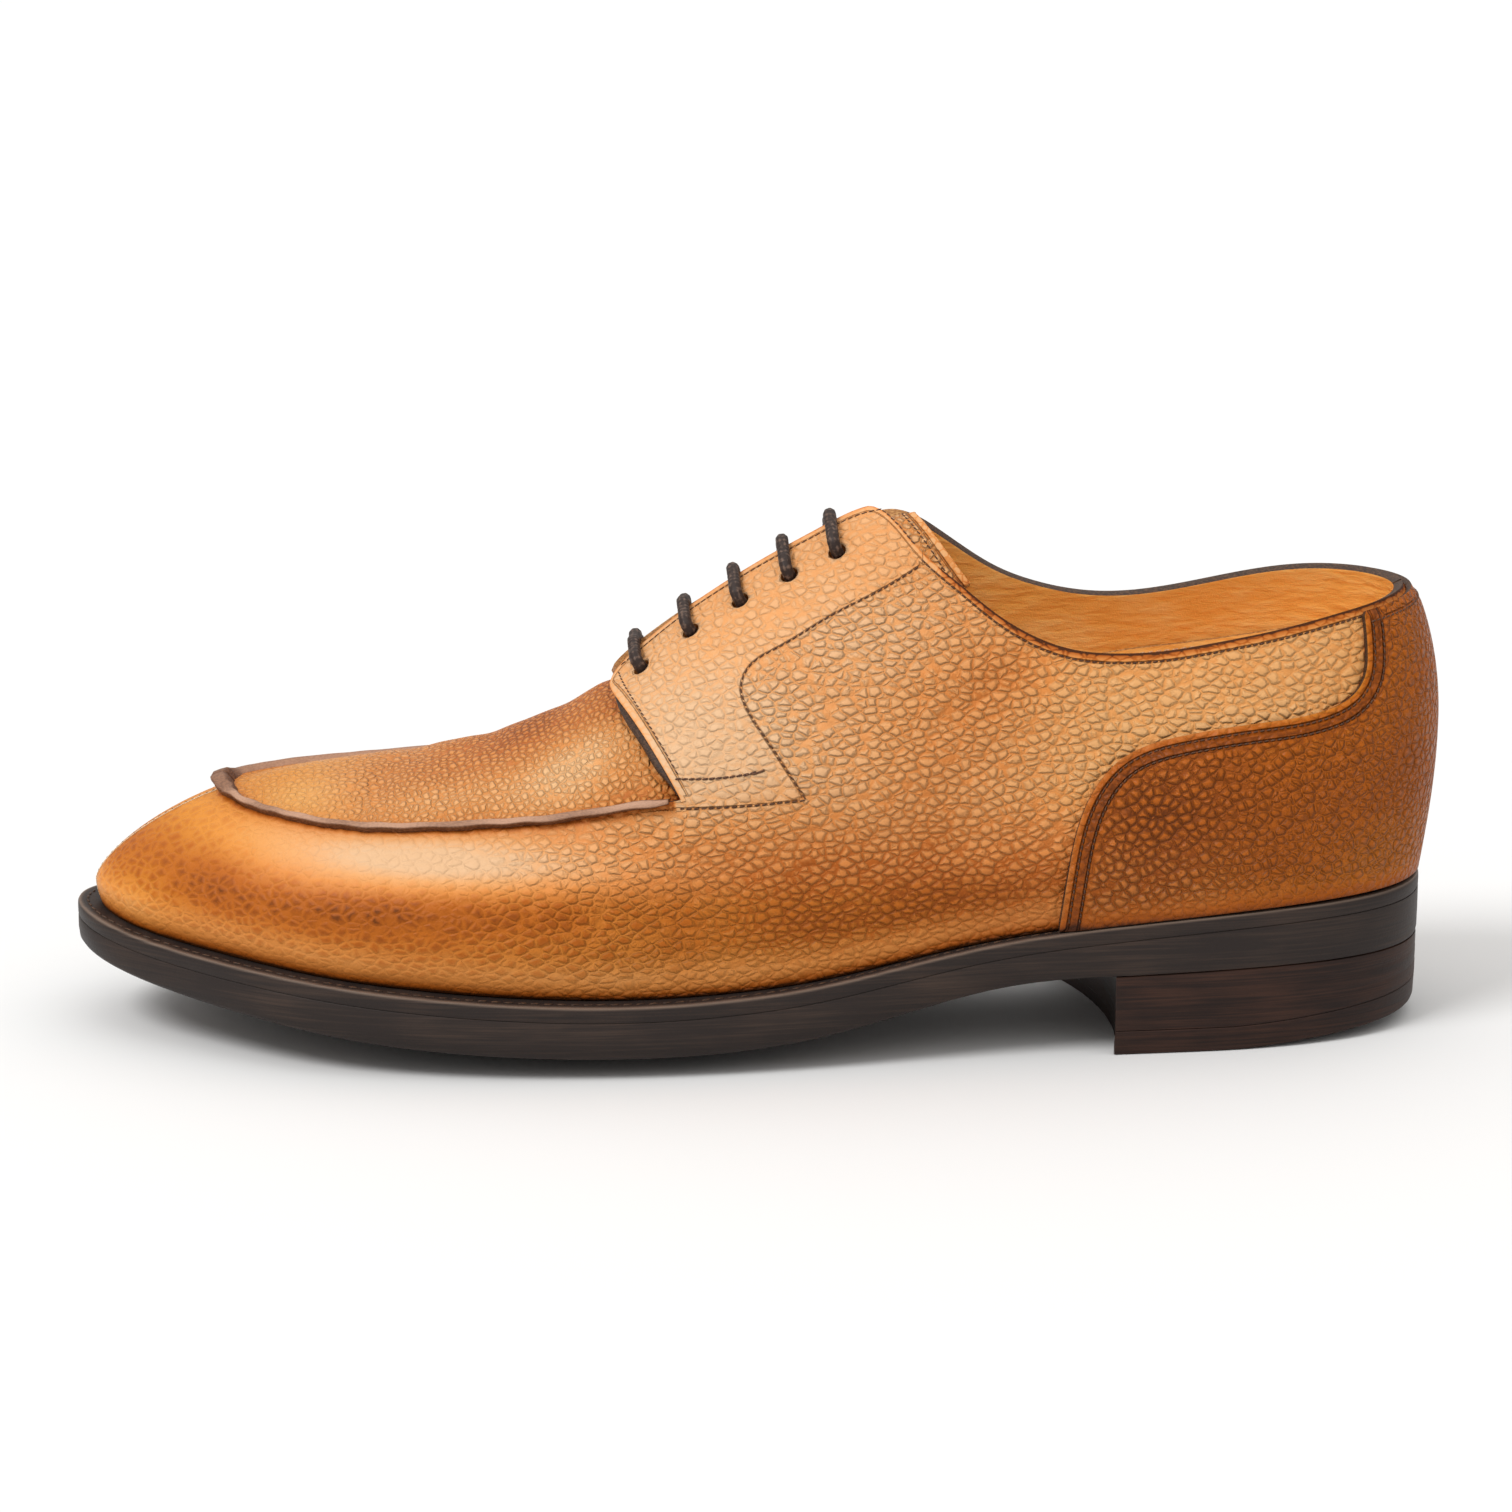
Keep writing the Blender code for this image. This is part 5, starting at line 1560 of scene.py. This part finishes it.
def counterRows():
    lift = counterPiece["lift"] + counterPiece["thick"]
    rows = insideRows(counterPiece["edge"], counterPiece["stitchRows"], lift)
    rows = [row[(row[:, 2] < 96.5) & (row[:, 2] > 31)] for row in rows]
    ends = [place(side, counterPiece["edge"][0][0] - 0.6) for side in (-1, 1)]
    s = np.linspace(ends[0], ends[1] - 1, 120)
    top = form(s, np.where(s > 0, topTau(s, -1), topTau(s, 1)))[:, 2]
    tau = tauByHeight(s, top - counterPiece["below"] - counterPiece["collarRow"])
    return rows + [overForm(s, tau, np.full(len(s), lift))]


sew("counterStitches", counterRows(), heelCounter, pitch=1.5, size=(1.2, 0.42, 0.38))
gripFace = gripPiece["lift"] - gripPiece["thick"] - 0.2
gripRows = insideRows(gripPiece["edge"], (gripPiece["stitchInside"],), gripFace)
sew("gripStitches", gripRows, heelGrip, "paleThread", "lining_leather", pitch=2.0, size=(1.5, 0.42, 0.36))


def tongueRow(inside):
    # across the free end of the tongue
    count = 2 * apronPiece["half"] + 1
    v = np.linspace(0, 1, count)[None]
    row = apronShape(np.full(v.shape, inside / apronPiece["length"]), v)[0][0]
    return row[int(count * 0.06):int(count * 0.94)]


sew("tongueStitches", [tongueRow(apronPiece["tongueRow"])], apronTongue)


def toeSeamRow(offset):
    # down the split of the toe, or beside it
    tau = np.linspace(-0.8, float(seamTau(toeTip)) - 0.03, 120)
    return form(np.full(len(tau), toeTip), tau) + (0, offset, 0)


sew("toeSeamEdges", [toeSeamRow(-0.42), toeSeamRow(0.42)], sideOuter, "paleThread", "tan_leather",
    pitch=0.62, size=(1.0, 0.42, 0.42), slant=0.0)
sew("toeSeamStitches", [toeSeamRow(0.0)], sideOuter, pitch=1.7, size=(0.9, 0.42, 0.5), slant=24.0)


def weltRow(inside):
    run = np.linspace(0, 1, 1500)
    flat = inset(run, np.full(len(run), inside))
    return standing(flat, soleTop(flat))


# the welt stitches take the dark edge finish: partly dark thread, partly painted shade of the gap between
# upper and welt
sew("weltStitches", [weltRow(2.3)], welt, "paintedEdge", "sole_leather",
    pitch=2.9, size=(2.2, 0.62, 0.5), slant=9.0)
print("stitching made")

# Floor, light and plain display
studio = {
    "floor": 9.0, "floorTone": 0.70,
    # strength of the sky at the horizon and overhead, the two tints, and where one fades to the other
    "low": 0.42, "lowTint": (1.0, 0.99, 0.98), "high": 1.28, "highTint": (1.0, 0.99, 0.97),
    "fade": (0.12, 0.85),
    # where the key light stands, its width in degrees and its strength
    "key": (-0.55, -0.42, 0.80), "keyWidth": 22, "keyStrength": 1.8,
}


def addStudio():
    clearPick()
    bpy.ops.mesh.primitive_plane_add(size=studio["floor"])
    floor = bpy.context.object
    floor.name = "floor"
    work = Finish("paleFloor", Roughness=0.85, Specular_IOR_Level=0.2)
    floor.data.materials.append(work.done((studio["floorTone"],) * 3 + (1,)))
    world = bpy.data.worlds.new("studio")
    bpy.context.scene.world = world
    world.use_nodes = True
    # one wide soft light overhead, fading to the horizon
    work = NodeWork(world.node_tree)
    aim = work.node("TexCoord", {}, {}, "Generated")
    rise = work.node("SeparateXYZ", {}, {0: aim}, "Z").ease(*studio["fade"])
    low, high = [[studio[key] * tint for tint in studio[key + "Tint"]] + [1] for key in ("low", "high")]
    sky = work.node("Mix", {"data_type": "RGBA"}, {0: rise, 6: low, 7: high}, 2)
    work.feed(world.node_tree.nodes["Background"].inputs[0], sky)
    spot = Vector(studio["key"])
    bpy.ops.object.light_add(type="SUN", location=spot, rotation=spot.to_track_quat("Z", "Y").to_euler())
    key = bpy.context.object.data
    key.energy, key.angle = studio["keyStrength"], math.radians(studio["keyWidth"])
    bpy.context.scene.view_settings.view_transform = "Standard"


addStudio()
print("studio set")
